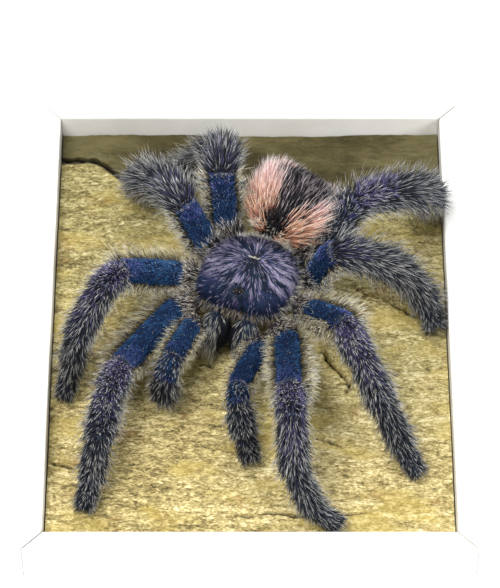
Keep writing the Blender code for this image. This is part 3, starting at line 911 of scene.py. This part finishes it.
def build_carapace():
    shape = lambda v: body_point(*carapace_surface(v[:, 0], v[:, 1], v[:, 2]))
    verts, faces, uvs = sphere_grid(96, 56)
    world = shape(verts)
    faces, uvs = outward(faces, uvs, world - world.mean(0))
    core = mesh_piece("carapace_shell", world, faces, [MATS["carapace"]], uvs=uvs)
    ride(core, "carapace_indigo", "carapace")

    rng = np.random.default_rng(31)
    fur = Fur()
    pit = body_point(-DIMPLE_BACK, 0.0, 15.0)

    # silk on the back, combed outward from the dimple
    v, p, n = surface_samples(rng, shape, 34000)
    ok = (v[:, 2] > 0.02)
    v, p, n = v[ok], p[ok], n[ok]
    n = np.where((n @ UP)[:, None] < 0, -n, n)
    away = p - pit
    away[:, 2] = 0
    dist = np.linalg.norm(away, axis=1)
    comb = unit(away)
    comb = unit(comb - n * np.sum(comb * n, 1)[:, None])
    local_a = (p - CENTRE) @ FORWARD + DIMPLE_BACK
    local_s = (p - CENTRE) @ LEFT
    ang = np.arctan2(local_s, local_a)
    wave = ang + 0.05 * np.sin(dist * 0.9 + 2.0 * ang)
    count = len(p)
    streak = (noise2(wave * 7.0 + 40, dist * 0.22, 5) * 0.16
              + noise2(wave * 17.0 + 90, dist * 0.45, 6) * 0.42
              + noise2(wave * 37.0 + 20, dist * 0.75, 7) * 0.42)
    # dark lines from the dimple to the corners of the head and along it
    for line, size in ((0.60, 0.30), (-0.42, 0.30), (0.12, 0.16), (-0.14, 0.22), (0.34, 0.10), (1.5, 0.12), (-1.35, 0.12), (2.4, 0.2), (-2.3, 0.2)):
        streak = streak - size * np.exp(-((ang - line) * np.maximum(dist, 2.0) / 0.75) ** 2)
    # the hind slope is slate rather than mauve
    streak = streak - 0.10 * smooth((-local_a - 0.5) / 3.0)
    edge = smooth((dist - 8.8) / 3.2)
    pal = np.interp(streak, [0.28, 0.37, 0.42, 0.47, 0.56], [0.02, 0.10, 0.30, 0.49, 0.61])
    # slate blue toward the rim, blue violet at the corners of the head
    rim = np.interp(noise2(wave * 12.0, dist * 0.5, 9), [0.3, 0.7], [0.08, 0.24])
    pal = pal * (1 - 0.75 * edge) + rim * 0.75 * edge
    corner = (local_a > 7.5) & (np.abs(local_s) > 3.2) & (rng.random(count) < 0.6)
    pal = np.where(corner, rng.uniform(0.12, 0.30, count), pal)
    pal = pal + rng.normal(0, 0.04, count)
    tilt = np.radians(rng.uniform(5, 17, count))[:, None]
    aim = comb * np.cos(tilt) + n * np.sin(tilt) + jitter(rng, count, 0.05)
    fur.add(p, aim, rng.uniform(1.1, 2.3, count), 0.18, np.clip(pal, 0.02, 0.62), steps=1)

    # rim and flank hair, grey tan, outward and down
    v, p, n = surface_samples(rng, shape, 11000)
    ok = (v[:, 2] < 0.14) & (v[:, 2] > -0.75)
    v, p, n = v[ok], p[ok], n[ok]
    mid = body_point(0.0, 0.0, 9.0)
    n = np.where((np.sum((p - mid) * n, 1) < 0)[:, None], -n, n)
    count = len(p)
    front = v[:, 1] > 0.62
    pal = np.where(front, rng.uniform(0.67, 0.80, count), rng.uniform(0.76, 0.98, count))
    pal = np.where(rng.random(count) < 0.25, rng.uniform(0.02, 0.20, count), pal)
    aim = n + UP * rng.uniform(-0.5, 0.15, count)[:, None] + jitter(rng, count, 0.25)
    fur.add(p, aim, rng.uniform(1.2, 3.4, count), 0.16, pal, steps=2, lean=-UP * 0.2)

    # fine pale strands that lie over the silk, most of them near the dimple
    v, p, n = surface_samples(rng, shape, 2600)
    away = (p - pit) * np.array([1, 1, 0])
    dist = np.linalg.norm(away, axis=1)
    ok = (v[:, 2] > 0.1) & (dist > 1.2) & (rng.random(len(p)) < 1.15 - dist / 10.0)
    v, p, n, away = v[ok], p[ok], n[ok], unit(away[ok])
    n = np.where((n @ UP)[:, None] < 0, -n, n)
    count = len(p)
    away = unit(away - n * np.sum(away * n, 1)[:, None])
    fur.add(p, away + n * rng.uniform(0.16, 0.34, count)[:, None] + jitter(rng, count, 0.07),
            rng.uniform(1.6, 3.0, count), 0.125, rng.uniform(0.56, 0.63, count), steps=2, lean=away * 0.35)

    # upright scattered bristles on the back, and a tuft of near-white hair at the dimple as its painted highlight
    v, p, n = surface_samples(rng, shape, 420)
    ok = v[:, 2] > 0.1
    v, p, n = v[ok], p[ok], n[ok]
    n = np.where((n @ UP)[:, None] < 0, -n, n)
    count = len(p)
    away = unit((p - pit) * np.array([1, 1, 0]))
    fur.add(p, n + away * 0.6 + jitter(rng, count, 0.15), rng.uniform(1.2, 2.4, count), 0.10,
            rng.uniform(0.55, 0.63, count), steps=2, lean=away * 0.3)
    # painted highlight: a small tuft of near-white hair at the dimple
    count = 46
    where = body_point(-DIMPLE_BACK + 0.3 + rng.normal(0, 0.12, count), rng.uniform(-0.9, 0.7, count), np.full(count, 15.0))
    fur.add(where, LEFT * rng.choice([-1.0, 1.0], (count, 1)) + UP * 0.45 + jitter(rng, count, 0.15),
            rng.uniform(0.6, 1.1, count), 0.17, rng.uniform(0.96, 0.98, count), steps=1)

    # short dark hair round the eye mound
    count = 420
    turn = rng.uniform(0, 2 * math.pi, count)
    ring = rng.uniform(0.75, 1.75, count)
    where = body_point(7.4 + 0.75 * ring * np.cos(turn), 1.15 * ring * np.sin(turn), 15.75 - 0.22 * ring ** 2)
    aim = (FORWARD * np.cos(turn)[:, None] + LEFT * np.sin(turn)[:, None]) * 0.8 + UP * 0.45
    fur.add(where, aim + jitter(rng, count, 0.3), rng.uniform(0.5, 1.2, count), 0.17,
            rng.uniform(0.0, 0.10, count), steps=1)

    # cream fringe between front body and abdomen
    count = 1000
    spread = rng.uniform(-1.0, 1.0, count)
    where = body_point(-CARAPACE_REAR + 0.2 + 1.6 * spread ** 2, spread * 6.0, 11.2 + rng.uniform(-1.0, 0.8, count))
    aim = -FORWARD * 1.0 + LEFT * spread[:, None] * 0.5 + UP * rng.uniform(0.0, 0.8, count)[:, None]
    fur.add(where, aim + jitter(rng, count, 0.2), rng.uniform(1.0, 2.6, count), 0.13,
            rng.uniform(0.92, 0.98, count), steps=2, lean=UP * 0.3)
    ob = fur.build("carapace_silk", MATS["body_fur"])
    ride(ob, "carapace_indigo")


def build_eyes():
    """A low mound near the head's edge with eight small black eyes."""
    seat = body_point(7.4, 0.0, 15.6)
    verts, faces, uvs, mats = [], [], [], []

    def blob(centre, size, nu, nv, mat):
        v, f, u = sphere_grid(nu, nv)
        w = centre + (v[:, :1] * LEFT + v[:, 1:2] * FORWARD + v[:, 2:3] * UP) * np.asarray(size)
        f, u = outward(f, u, w - w.mean(0))
        base = sum(len(a) for a in verts)
        verts.append(w)
        faces.extend(tuple(i + base for i in g) for g in f)
        uvs.extend(u)
        mats.extend([mat] * len(f))

    # sizes run along X, Y, Z of the row frame, which is close enough on
    # so small a mound
    blob(seat, (1.30, 1.00, 0.62), 28, 14, 0)
    for s in (-1.0, 1.0):
        for ahead, side, up, r in ((0.42, 0.40, 0.42, 0.30), (0.60, 0.95, 0.18, 0.26),
                                   (-0.20, 0.95, 0.26, 0.24), (-0.38, 0.52, 0.38, 0.20)):
            blob(seat + FORWARD * ahead + LEFT * side * s + UP * up, (r, r, r), 14, 8, 1)
    ob = mesh_piece("eye_mound", np.concatenate(verts), faces, [MATS["eye_seat"], MATS["horn"]],
                    uvs=uvs, face_mats=mats)
    ride(ob, "carapace_indigo")


# ------------------------------------------------------------- abdomen ----
def abdomen_shape(v):
    w, l, h = ABDOMEN_SIZE
    fuller = 1.0 + 0.06 * v[:, 1]
    # the tail end is blunt, with two broad corners
    turn = np.arctan2(v[:, 1], v[:, 0])
    blunt = (np.abs(np.cos(turn)) ** 3.0 + np.abs(np.sin(turn)) ** 3.0) ** (-1.0 / 3.0)
    blunt = np.where(v[:, 1] > 0, blunt, 1.0)
    ahead = np.where(v[:, 1] > 0, 0.45, 0.555)
    local = np.stack([v[:, 0] * w * 0.5 * fuller * blunt, v[:, 1] * l * ahead * blunt,
                      v[:, 2] * h * 0.5 * fuller], 1)
    return abdomen_point(local)


def build_abdomen():
    # rings run round the long axis, so that u counts the turn from below
    verts, faces, uvs = sphere_grid(72, 40)
    turned = np.stack([verts[:, 1], -verts[:, 2], -verts[:, 0]], 1)
    world = abdomen_shape(turned)
    faces, uvs = outward(faces, uvs, world - world.mean(0))
    core = mesh_piece("abdomen_skin", world, faces, [MATS["abdomen"]], uvs=uvs)
    ride(core, "abdomen_salmon", "abdomen")

    rng = np.random.default_rng(47)
    fur = Fur()
    tail = ABDOMEN_ROT @ np.array([0.0, 1.0, 0.0])
    top = ABDOMEN_ROT @ np.array([0.0, 0.0, 1.0])

    def coat(total, lengths, width, steps, tilt_lo, tilt_hi):
        v, p, n = surface_samples(rng, abdomen_shape, total)
        n = np.where((np.sum((p - ABDOMEN) * n, 1) < 0)[:, None], -n, n)
        keep = v[:, 1] > -0.985
        v, p, n = v[keep], p[keep], n[keep]
        count = len(p)
        turn = np.degrees(np.arctan2(v[:, 0], v[:, 2])) - 13.0        # 0 on the band's middle
        back = 0.5 * (v[:, 1] + 1.0)                                  # 0 at the waist
        band = 26 + 24 * smooth((back - 0.15) / 0.75) + rng.normal(0, 9, count)
        band = np.where(turn > 0, band + 16 * smooth((back - 0.35) / 0.5),
                        band * (0.88 + 0.42 * smooth((back - 0.50) / 0.35)))
        turn = np.abs(turn)
        band = band + 12 * (noise2(p[:, 0] * 0.35, p[:, 1] * 0.35, 8) - 0.5)
        black = (turn < band) | (back > 0.93 + 0.03 * rng.random(count))
        warm = np.interp(back, [0.15, 0.36, 0.66], [0.32, 0.47, 0.68]) + rng.normal(0, 0.05, count)
        low = turn > 118
        light = np.interp(back, [0.15, 0.35, 0.60, 0.85], [0.06, 0.30, 0.36, 0.12])
        inky = np.where(rng.random(count) < light, rng.uniform(0.235, 0.262, count), rng.uniform(0.02, 0.09, count))
        pal = np.where(black, inky, np.clip(warm, 0.31, 0.76))
        # dark strands mixed in toward the waist
        deep = rng.random(count) < (0.18 if steps == 1 else 0.05)
        pal = np.where(deep & ~black & (v[:, 0] < 0.2), rng.uniform(0.925, 0.985, count), pal)
        dusky = low | (rng.random(count) < (0.03 + 0.25 * smooth((0.4 - back) / 0.3)) * np.where(v[:, 0] > 0, 0.45, 1.0))
        pal = np.where(dusky & ~black, rng.uniform(0.02, 0.2, count), pal)
        comb = tail - n * (n @ tail)[:, None]
        comb = unit(comb)
        tilt = np.radians(rng.uniform(tilt_lo, tilt_hi, count))[:, None]
        aim = comb * np.cos(tilt) + n * np.sin(tilt) + jitter(rng, count, 0.09)
        size = rng.uniform(*lengths, count)
        size = size * np.where(black, 0.80, 1.0)
        size = size * np.where(v[:, 1] < -0.84, 0.6, 1.0)
        # longer strands stand out to the two sides
        flank = smooth((np.abs(v[:, 0]) - 0.45) / 0.4)
        size = size * (1.0 + np.where(v[:, 0] > 0, 0.50, 0.14) * flank) * (1.0 - 0.24 * smooth((back - 0.55) / 0.3))
        aim = aim + n * (0.22 * flank)[:, None]
        fur.add(p, aim, size, width, pal, lean=tail * 0.25 + jitter(rng, count, 0.08), steps=steps)

    coat(7600, (1.2, 2.2), 0.16, 1, 14, 32)
    coat(7400, (2.8, 5.6), 0.165, 2, 16, 38)

    # cream ring round the waist
    count = 150
    turn = rng.uniform(0, 2 * math.pi, count)
    v = np.stack([np.sin(turn) * 0.5, np.full(count, -0.86), np.cos(turn) * 0.5], 1)
    v = unit(v + jitter(rng, count, 0.05))
    p = abdomen_shape(v)
    n = unit(p - ABDOMEN)
    side = unit(n + tail * 0.6)
    fur.add(p, side + jitter(rng, count, 0.18), rng.uniform(1.4, 2.8, count), 0.13,
            rng.uniform(0.80, 0.86, count), lean=tail * 0.3, steps=2)
    ob = fur.build("abdomen_hair", MATS["abdomen_fur"])
    ride(ob, "abdomen_salmon")


# ---------------------------------------------------------------- jaws ----
def build_jaws():
    for side, sign in (("left", 1.0), ("right", -1.0)):
        def shape(v):
            x, y, z = v[:, 0], v[:, 1], v[:, 2]
            slim = 1.0 - 0.10 * y
            ahead = 13.2 + 3.1 * y - 0.4 * z
            return body_point(ahead, sign * 3.2 + x * 2.85 * slim, 6.9 + 3.9 * z * slim - 0.9 * y)
        verts, faces, uvs = sphere_grid(40, 28)
        world = shape(verts)
        faces, uvs = outward(faces, uvs, world - world.mean(0))
        core = mesh_piece("chelicera_%s_shell" % side, world, faces, [MATS["jaw"]], uvs=uvs)
        ride(core, "jaw_blue", "chelicera_" + side)
        rng = np.random.default_rng(61 if side == "left" else 62)
        fur = Fur()
        mid = body_point(13.2, sign * 3.2, 6.9)
        v, p, n = surface_samples(rng, shape, 3200)
        n = np.where((np.sum((p - mid) * n, 1) < 0)[:, None], -n, n)
        down = unit(FORWARD * 0.75 - UP * 0.8)
        comb = unit(down - n * (n @ down)[:, None])
        count = len(p)
        tilt = np.radians(rng.uniform(12, 32, count))[:, None]
        pal = np.where(rng.random(count) < 0.62, rng.uniform(0.02, 0.12, count), rng.uniform(0.22, 0.30, count))
        # painted shade: the inner faces, in the gap between the jaws, get almost black hair
        pal = np.where(n @ (LEFT * sign) < -0.15, rng.uniform(0.205, 0.222, count), pal)
        fur.add(p, comb * np.cos(tilt) + n * np.sin(tilt) + jitter(rng, count, 0.1),
                rng.uniform(0.8, 1.5, count), 0.18, pal, steps=1)
        # long pale hairs that all hang the same way, none in the gap between
        v, p, n = surface_samples(rng, shape, 1050)
        n = np.where((np.sum((p - mid) * n, 1) < 0)[:, None], -n, n)
        keep = (n @ (LEFT * sign) > -0.42) & (n @ FORWARD > -0.45)
        p, n = p[keep], n[keep]
        count = len(p)
        hang = unit(FORWARD * 0.55 - UP * 0.9)
        # where the shell faces up, the hairs lie along it and hang over its front
        along = unit(hang - n * np.minimum(0.0, n @ hang)[:, None])
        aim = along + n * rng.uniform(0.18, 0.42, count)[:, None] + jitter(rng, count, 0.045)
        fur.add(p, aim, rng.uniform(2.4, 4.8, count) * np.where(n @ UP > 0.5, 0.75, 1.0), 0.19,
                rng.uniform(0.47, 0.62, count),
                lean=hang * 0.5, steps=2)
        ride(fur.build("chelicera_%s_hair" % side, MATS["limb_fur"]), "jaw_blue")


def build_spinnerets():
    half = 0.5 * ABDOMEN_SIZE[1]
    for side, sign in (("left", 1.0), ("right", -1.0)):
        stations = [(1.5, half - 1.6, -4.9), (1.8, half - 0.6, -5.05), (2.0, half + 0.2, -5.1),
                    (2.2, half + 1.1, -5.0), (2.4, half + 2.0, -4.8)]
        pts = abdomen_point(np.array([(sign * a, b, c) for a, b, c in stations]))
        rad = [0.85, 0.86, 0.75, 0.68, 0.36]
        t = unit(np.gradient(pts, axis=0))
        d = unit(UP - t * (t @ UP)[:, None])
        e = np.cross(t, d)
        around = 14
        ang = np.linspace(0, 2 * math.pi, around, endpoint=False)
        verts = (pts[:, None] + (d[:, None] * np.cos(ang)[None, :, None]
                                 + e[:, None] * np.sin(ang)[None, :, None])
                 * np.array(rad)[:, None, None]).reshape(-1, 3)
        faces, uvs = [], []
        for k in range(len(pts) - 1):
            for i in range(around):
                j = (i + 1) % around
                faces.append((k * around + i, k * around + j, (k + 1) * around + j, (k + 1) * around + i))
                uvs += [(i / around, k / 5), ((i + 1) / around, k / 5),
                        ((i + 1) / around, (k + 1) / 5), (i / around, (k + 1) / 5)]
        faces.append(tuple(range(around))[::-1])
        uvs += [(0.5 + 0.1 * math.cos(a), 0.92 + 0.05 * math.sin(a)) for a in ang][::-1]
        top = (len(pts) - 1) * around
        faces.append(tuple(range(top, top + around)))
        uvs += [(0.8 + 0.1 * math.cos(a), 0.92 + 0.05 * math.sin(a)) for a in ang]
        ob = mesh_piece("spinneret_%s_skin" % side, verts, faces, [MATS["jaw"]], uvs=uvs)
        ride(ob, "limb_slate", "spinneret_" + side)
        rng = np.random.default_rng(71 if side == "left" else 72)
        fur = Fur()
        n = 260
        k = rng.integers(0, len(pts) - 1, n)
        w = rng.random(n)[:, None]
        th = rng.uniform(0, 2 * math.pi, n)[:, None]
        nrm = unit(d[k] * np.cos(th) + e[k] * np.sin(th))
        p = pts[k] * (1 - w) + pts[k + 1] * w
        r = np.array(rad)[k][:, None] * (1 - w) + np.array(rad)[k + 1][:, None] * w
        fur.add(p + nrm * r * 0.95, t[k] + nrm * 0.5 + jitter(rng, n, 0.1), rng.uniform(0.6, 1.4, n), 0.11,
                rng.uniform(0.22, 0.5, n), steps=1)
        ride(fur.build("spinneret_%s_hair" % side, MATS["limb_fur"]), "limb_slate")


# ---------------------------------------------------------------- bark ----
def crack_line(x):
    step = 1.0 / (1.0 + np.exp((x + 32.3) / 1.9))
    return (41.2 + 7.6 * step - 1.1 * (1.0 + np.tanh((x - 5.0) / 18.0))
            + 0.45 * np.sin(x / 7.3) + 0.3 * np.sin(x / 2.9))


def bark_height(x, y):
    return BARK_RELIEF * (0.55 * np.sin(0.11 * x + 0.5) * np.cos(0.07 * y)
                          + 0.45 * np.sin(0.05 * x - 0.16 * y + 1.0)) - 0.25


def line_distance(x, y, pts):
    """Distance to a polyline, and how far along it the nearest point is."""
    best = np.full(x.shape, 1e9)
    where = np.zeros(x.shape)
    pts = np.asarray(pts, float)
    for i in range(len(pts) - 1):
        a, b = pts[i], pts[i + 1]
        ab = b - a
        t = np.clip(((x - a[0]) * ab[0] + (y - a[1]) * ab[1]) / (ab @ ab), 0, 1)
        d = np.hypot(x - a[0] - ab[0] * t, y - a[1] - ab[1] * t)
        near = d < best
        best = np.where(near, d, best)
        where = np.where(near, (i + t) / (len(pts) - 1), where)
    return best, where


CRACKS = [
    # points along each split of the bark, then its depth and half width
    ([(24.0, 10.2), (26.3, 9.3), (29.2, 8.1), (31.9, 6.5), (35.8, 4.2), (40.0, 2.6), (43.8, 1.9)], 2.6, 0.36),
    ([(15.0, -5.9), (16.3, -7.4), (19.4, -11.6), (22.0, -15.3)], 2.6, 0.36),
    ([(18.7, -15.8), (20.4, -15.2), (22.0, -15.3), (20.9, -18.2)], 1.8, 0.34),
    ([(-12.3, -10.0), (-11.3, -10.4), (-9.5, -10.1), (-8.0, -11.0)], 2.2, 0.42),
    ([(13.0, -29.0), (15.2, -29.7), (17.0, -30.2), (18.5, -31.2), (20.2, -32.0)], 1.8, 0.34),
    ([(-43.8, -7.0), (-39.5, -7.9), (-35.5, -7.4), (-33.8, -7.7)], 2.0, 0.36),
    ([(-43.8, -36.0), (-38.0, -37.5), (-30.0, -36.2)], 1.8, 0.34),
    ([(-6.0, -50.5), (4.0, -49.0), (15.0, -50.2), (27.0, -48.6)], 1.8, 0.34),
]


def bark_detail(x, y, seed):
    wob = 6.0 * (fbm(x * 0.03, y * 0.05, seed + 20, 3) - 0.5)
    yy = y + wob + 0.08 * x
    ridge = fbm(x * 0.09, yy * 0.34, seed, 4) - 0.5
    fibre = fbm(x * 0.55, yy * 1.3, seed + 5, 2) - 0.5
    lump = fbm(x * 0.12, y * 0.16, seed + 9, 3) - 0.5
    flake = np.maximum(0.0, fbm(x * 0.16 + 9, yy * 0.42, seed + 14, 4) - 0.60)
    return 0.62 * ridge + 0.38 * fibre + 0.5 * lump - 2.0 * flake


def bark_piece(name, near, far, drop, cells, seed, mat, node, cracks):
    nx, ny = cells
    side = WINDOW_X - FIT
    gx = np.linspace(-side, side, nx + 1)
    tt = np.linspace(0.0, 1.0, ny + 1)
    x = np.repeat(gx[None, :], ny + 1, 0)
    y = near(gx)[None, :] * (1 - tt[:, None]) + far(gx)[None, :] * tt[:, None]
    ragged = 0.7 * (noise2(x * 0.9, y * 0.2, seed + 30) - 0.5)
    y = y + ragged * ((tt[:, None] > 0.98) if node == "bark_panel" else (tt[:, None] < 0.02))
    z = bark_height(x, y) - drop + bark_detail(x, y, seed)
    if node == "bark_panel":
        # the far edge rolls over into the crack
        gap = far(gx)[None, :] - y
        z = z - 1.4 * np.exp(-(gap / 1.1) ** 2)
    for pts, depth, half in cracks:
        wob_x = 0.5 * (noise2(x * 0.8, y * 0.8, seed + 33) - 0.5)
        wob_y = 0.9 * (noise2(x * 0.8 + 9, y * 0.8, seed + 34) - 0.5)
        d, t = line_distance(x + wob_x, y + wob_y, pts)
        fade = np.sin(np.clip(t, 0.02, 0.98) * math.pi) ** 0.4
        z = z - depth * fade * np.exp(-(d / half) ** 2) + 0.18 * fade * np.exp(-((d - 0.9) / 0.5) ** 2)
    z = np.clip(z, -3.3, 1.15)
    floor_z = BACK_Z + BOARD_T + FIT
    top = np.stack([x, y, z], -1).reshape(-1, 3)
    idx = np.arange((ny + 1) * (nx + 1)).reshape(ny + 1, nx + 1)
    quads = np.stack([idx[:-1, :-1], idx[:-1, 1:], idx[1:, 1:], idx[1:, :-1]], -1).reshape(-1, 4)
    edge = np.concatenate([idx[0, :], idx[1:, -1], idx[-1, -2::-1], idx[-2:0:-1, 0]])
    low = top[edge].copy()
    low[:, 2] = floor_z
    base = len(top)
    n = len(edge)
    faces = [tuple(q) for q in quads.tolist()]
    for i in range(n):
        j = (i + 1) % n
        faces.append((int(edge[i]), base + i, base + j, int(edge[j])))
    faces.append(tuple(range(base + n - 1, base - 1, -1)))
    verts = np.vstack([top, low])
    ob = mesh_piece(name, verts, faces, [mat])
    ob.data.set_sharp_from_angle(angle=math.radians(70))
    slot = "bark_tan" if node == "bark_panel" else "bark_olive"
    return ride(ob, slot, node)


def build_bark():
    bark_piece("bark_panel_relief", lambda s: np.full_like(s, WINDOW_NEAR + FIT), crack_line, 0.0,
               (196, 236), 3, MATS["bark"], "bark_panel", CRACKS)
    bark_piece("bark_strip_relief", lambda s: crack_line(s) + CRACK_W,
               lambda s: np.full_like(s, WINDOW_FAR - FIT), REAR_DROP,
               (160, 40), 11, MATS["bark_rear"], "bark_strip_rear", [])


# --------------------------------------------------------------- build ----
build_bark()
build_limbs()
build_carapace()
build_eyes()
build_abdomen()
build_jaws()
build_spinnerets()

for rail in ("near", "far", "left", "right"):
    NODES["frame_rail_" + rail].material_slots[0].material = MATS["white"]
NODES["backing_board"].material_slots[0].material = MATS["board"]
NODES["pedicel"].material_slots[0].material = MATS["waist"]
for s in ("left", "right"):
    NODES["fang_" + s].material_slots[0].material = MATS["horn"]


# --------------------------------------------------- floor, light, view ----
def build_stage():
    bpy.ops.mesh.primitive_plane_add(size=6.0, location=(0, 0, -0.0002))
    floor = bpy.context.object
    floor.name = "floor"
    t = Nodes("pale floor")
    soft = t.noise(t.coords(), 3.0, 2.0, 0.5)
    col = t.ramp(soft, [(0.3, (0.88, 0.88, 0.88)), (0.7, (0.90, 0.90, 0.90))])
    floor.data.materials.append(t.finish(col, 0.9, Specular_IOR_Level=0.1))
    floor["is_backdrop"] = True

    def area(name, place, target, size, power, colour=(1, 1, 1)):
        lamp = bpy.data.lights.new(name, "AREA")
        lamp.shape = "DISK"
        lamp.size = size
        lamp.energy = power
        lamp.color = colour
        ob = bpy.data.objects.new(name, lamp)
        ob.location = place
        ob.rotation_euler = (Vector(target) - Vector(place)).to_track_quat("-Z", "Y").to_euler()
        bpy.context.scene.collection.objects.link(ob)

    area("key", (-0.24, -0.20, 0.68), (0, 0, 0.01), 0.42, 5.9, (1.0, 0.99, 0.97))
    area("fill", (0.50, -0.40, 0.42), (0, 0, 0.01), 0.40, 3.5, (0.97, 0.98, 1.0))
    area("back", (0.05, 0.55, 0.50), (0, 0, 0.01), 0.35, 2.0, (1.0, 1.0, 1.0))

    world = bpy.data.worlds.new("studio")
    world.use_nodes = True
    world.node_tree.nodes["Background"].inputs["Color"].default_value = (1.0, 1.0, 1.0, 1.0)
    world.node_tree.nodes["Background"].inputs["Strength"].default_value = 0.45
    bpy.context.scene.world = world
    bpy.context.scene.view_settings.view_transform = "Standard"


def build_camera():
    """The photograph looks down at 53 degrees over the near rail."""
    elevation, distance, scale = math.radians(53.0), 700.0, 0.22
    target = (np.array([0.0, 0.0, 12.0]) + OFF) * MM
    back = np.array([0.0, -math.cos(elevation), math.sin(elevation)])
    cam = bpy.data.cameras.new("camera")
    cam.sensor_width = 36.0
    cam.sensor_fit = "AUTO"
    cam.lens = distance / scale * 36.0 / 588.0
    cam.clip_start, cam.clip_end = 0.01, 20.0
    ob = bpy.data.objects.new("camera", cam)
    ob.location = Vector(target + back * distance * MM)
    ob.rotation_euler = Vector(-back).to_track_quat("-Z", "Y").to_euler()
    bpy.context.scene.collection.objects.link(ob)
    bpy.context.scene.camera = ob


build_stage()
build_camera()

faces = sum(len(p.vertices) - 2 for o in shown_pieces() if o.type == "MESH" for p in o.data.polygons)
print("triangles shown:", faces)
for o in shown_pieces():
    if o.type == "MESH":
        n = sum(len(p.vertices) - 2 for p in o.data.polygons)
        if n > 20000:
            print("  ", o.name, n)
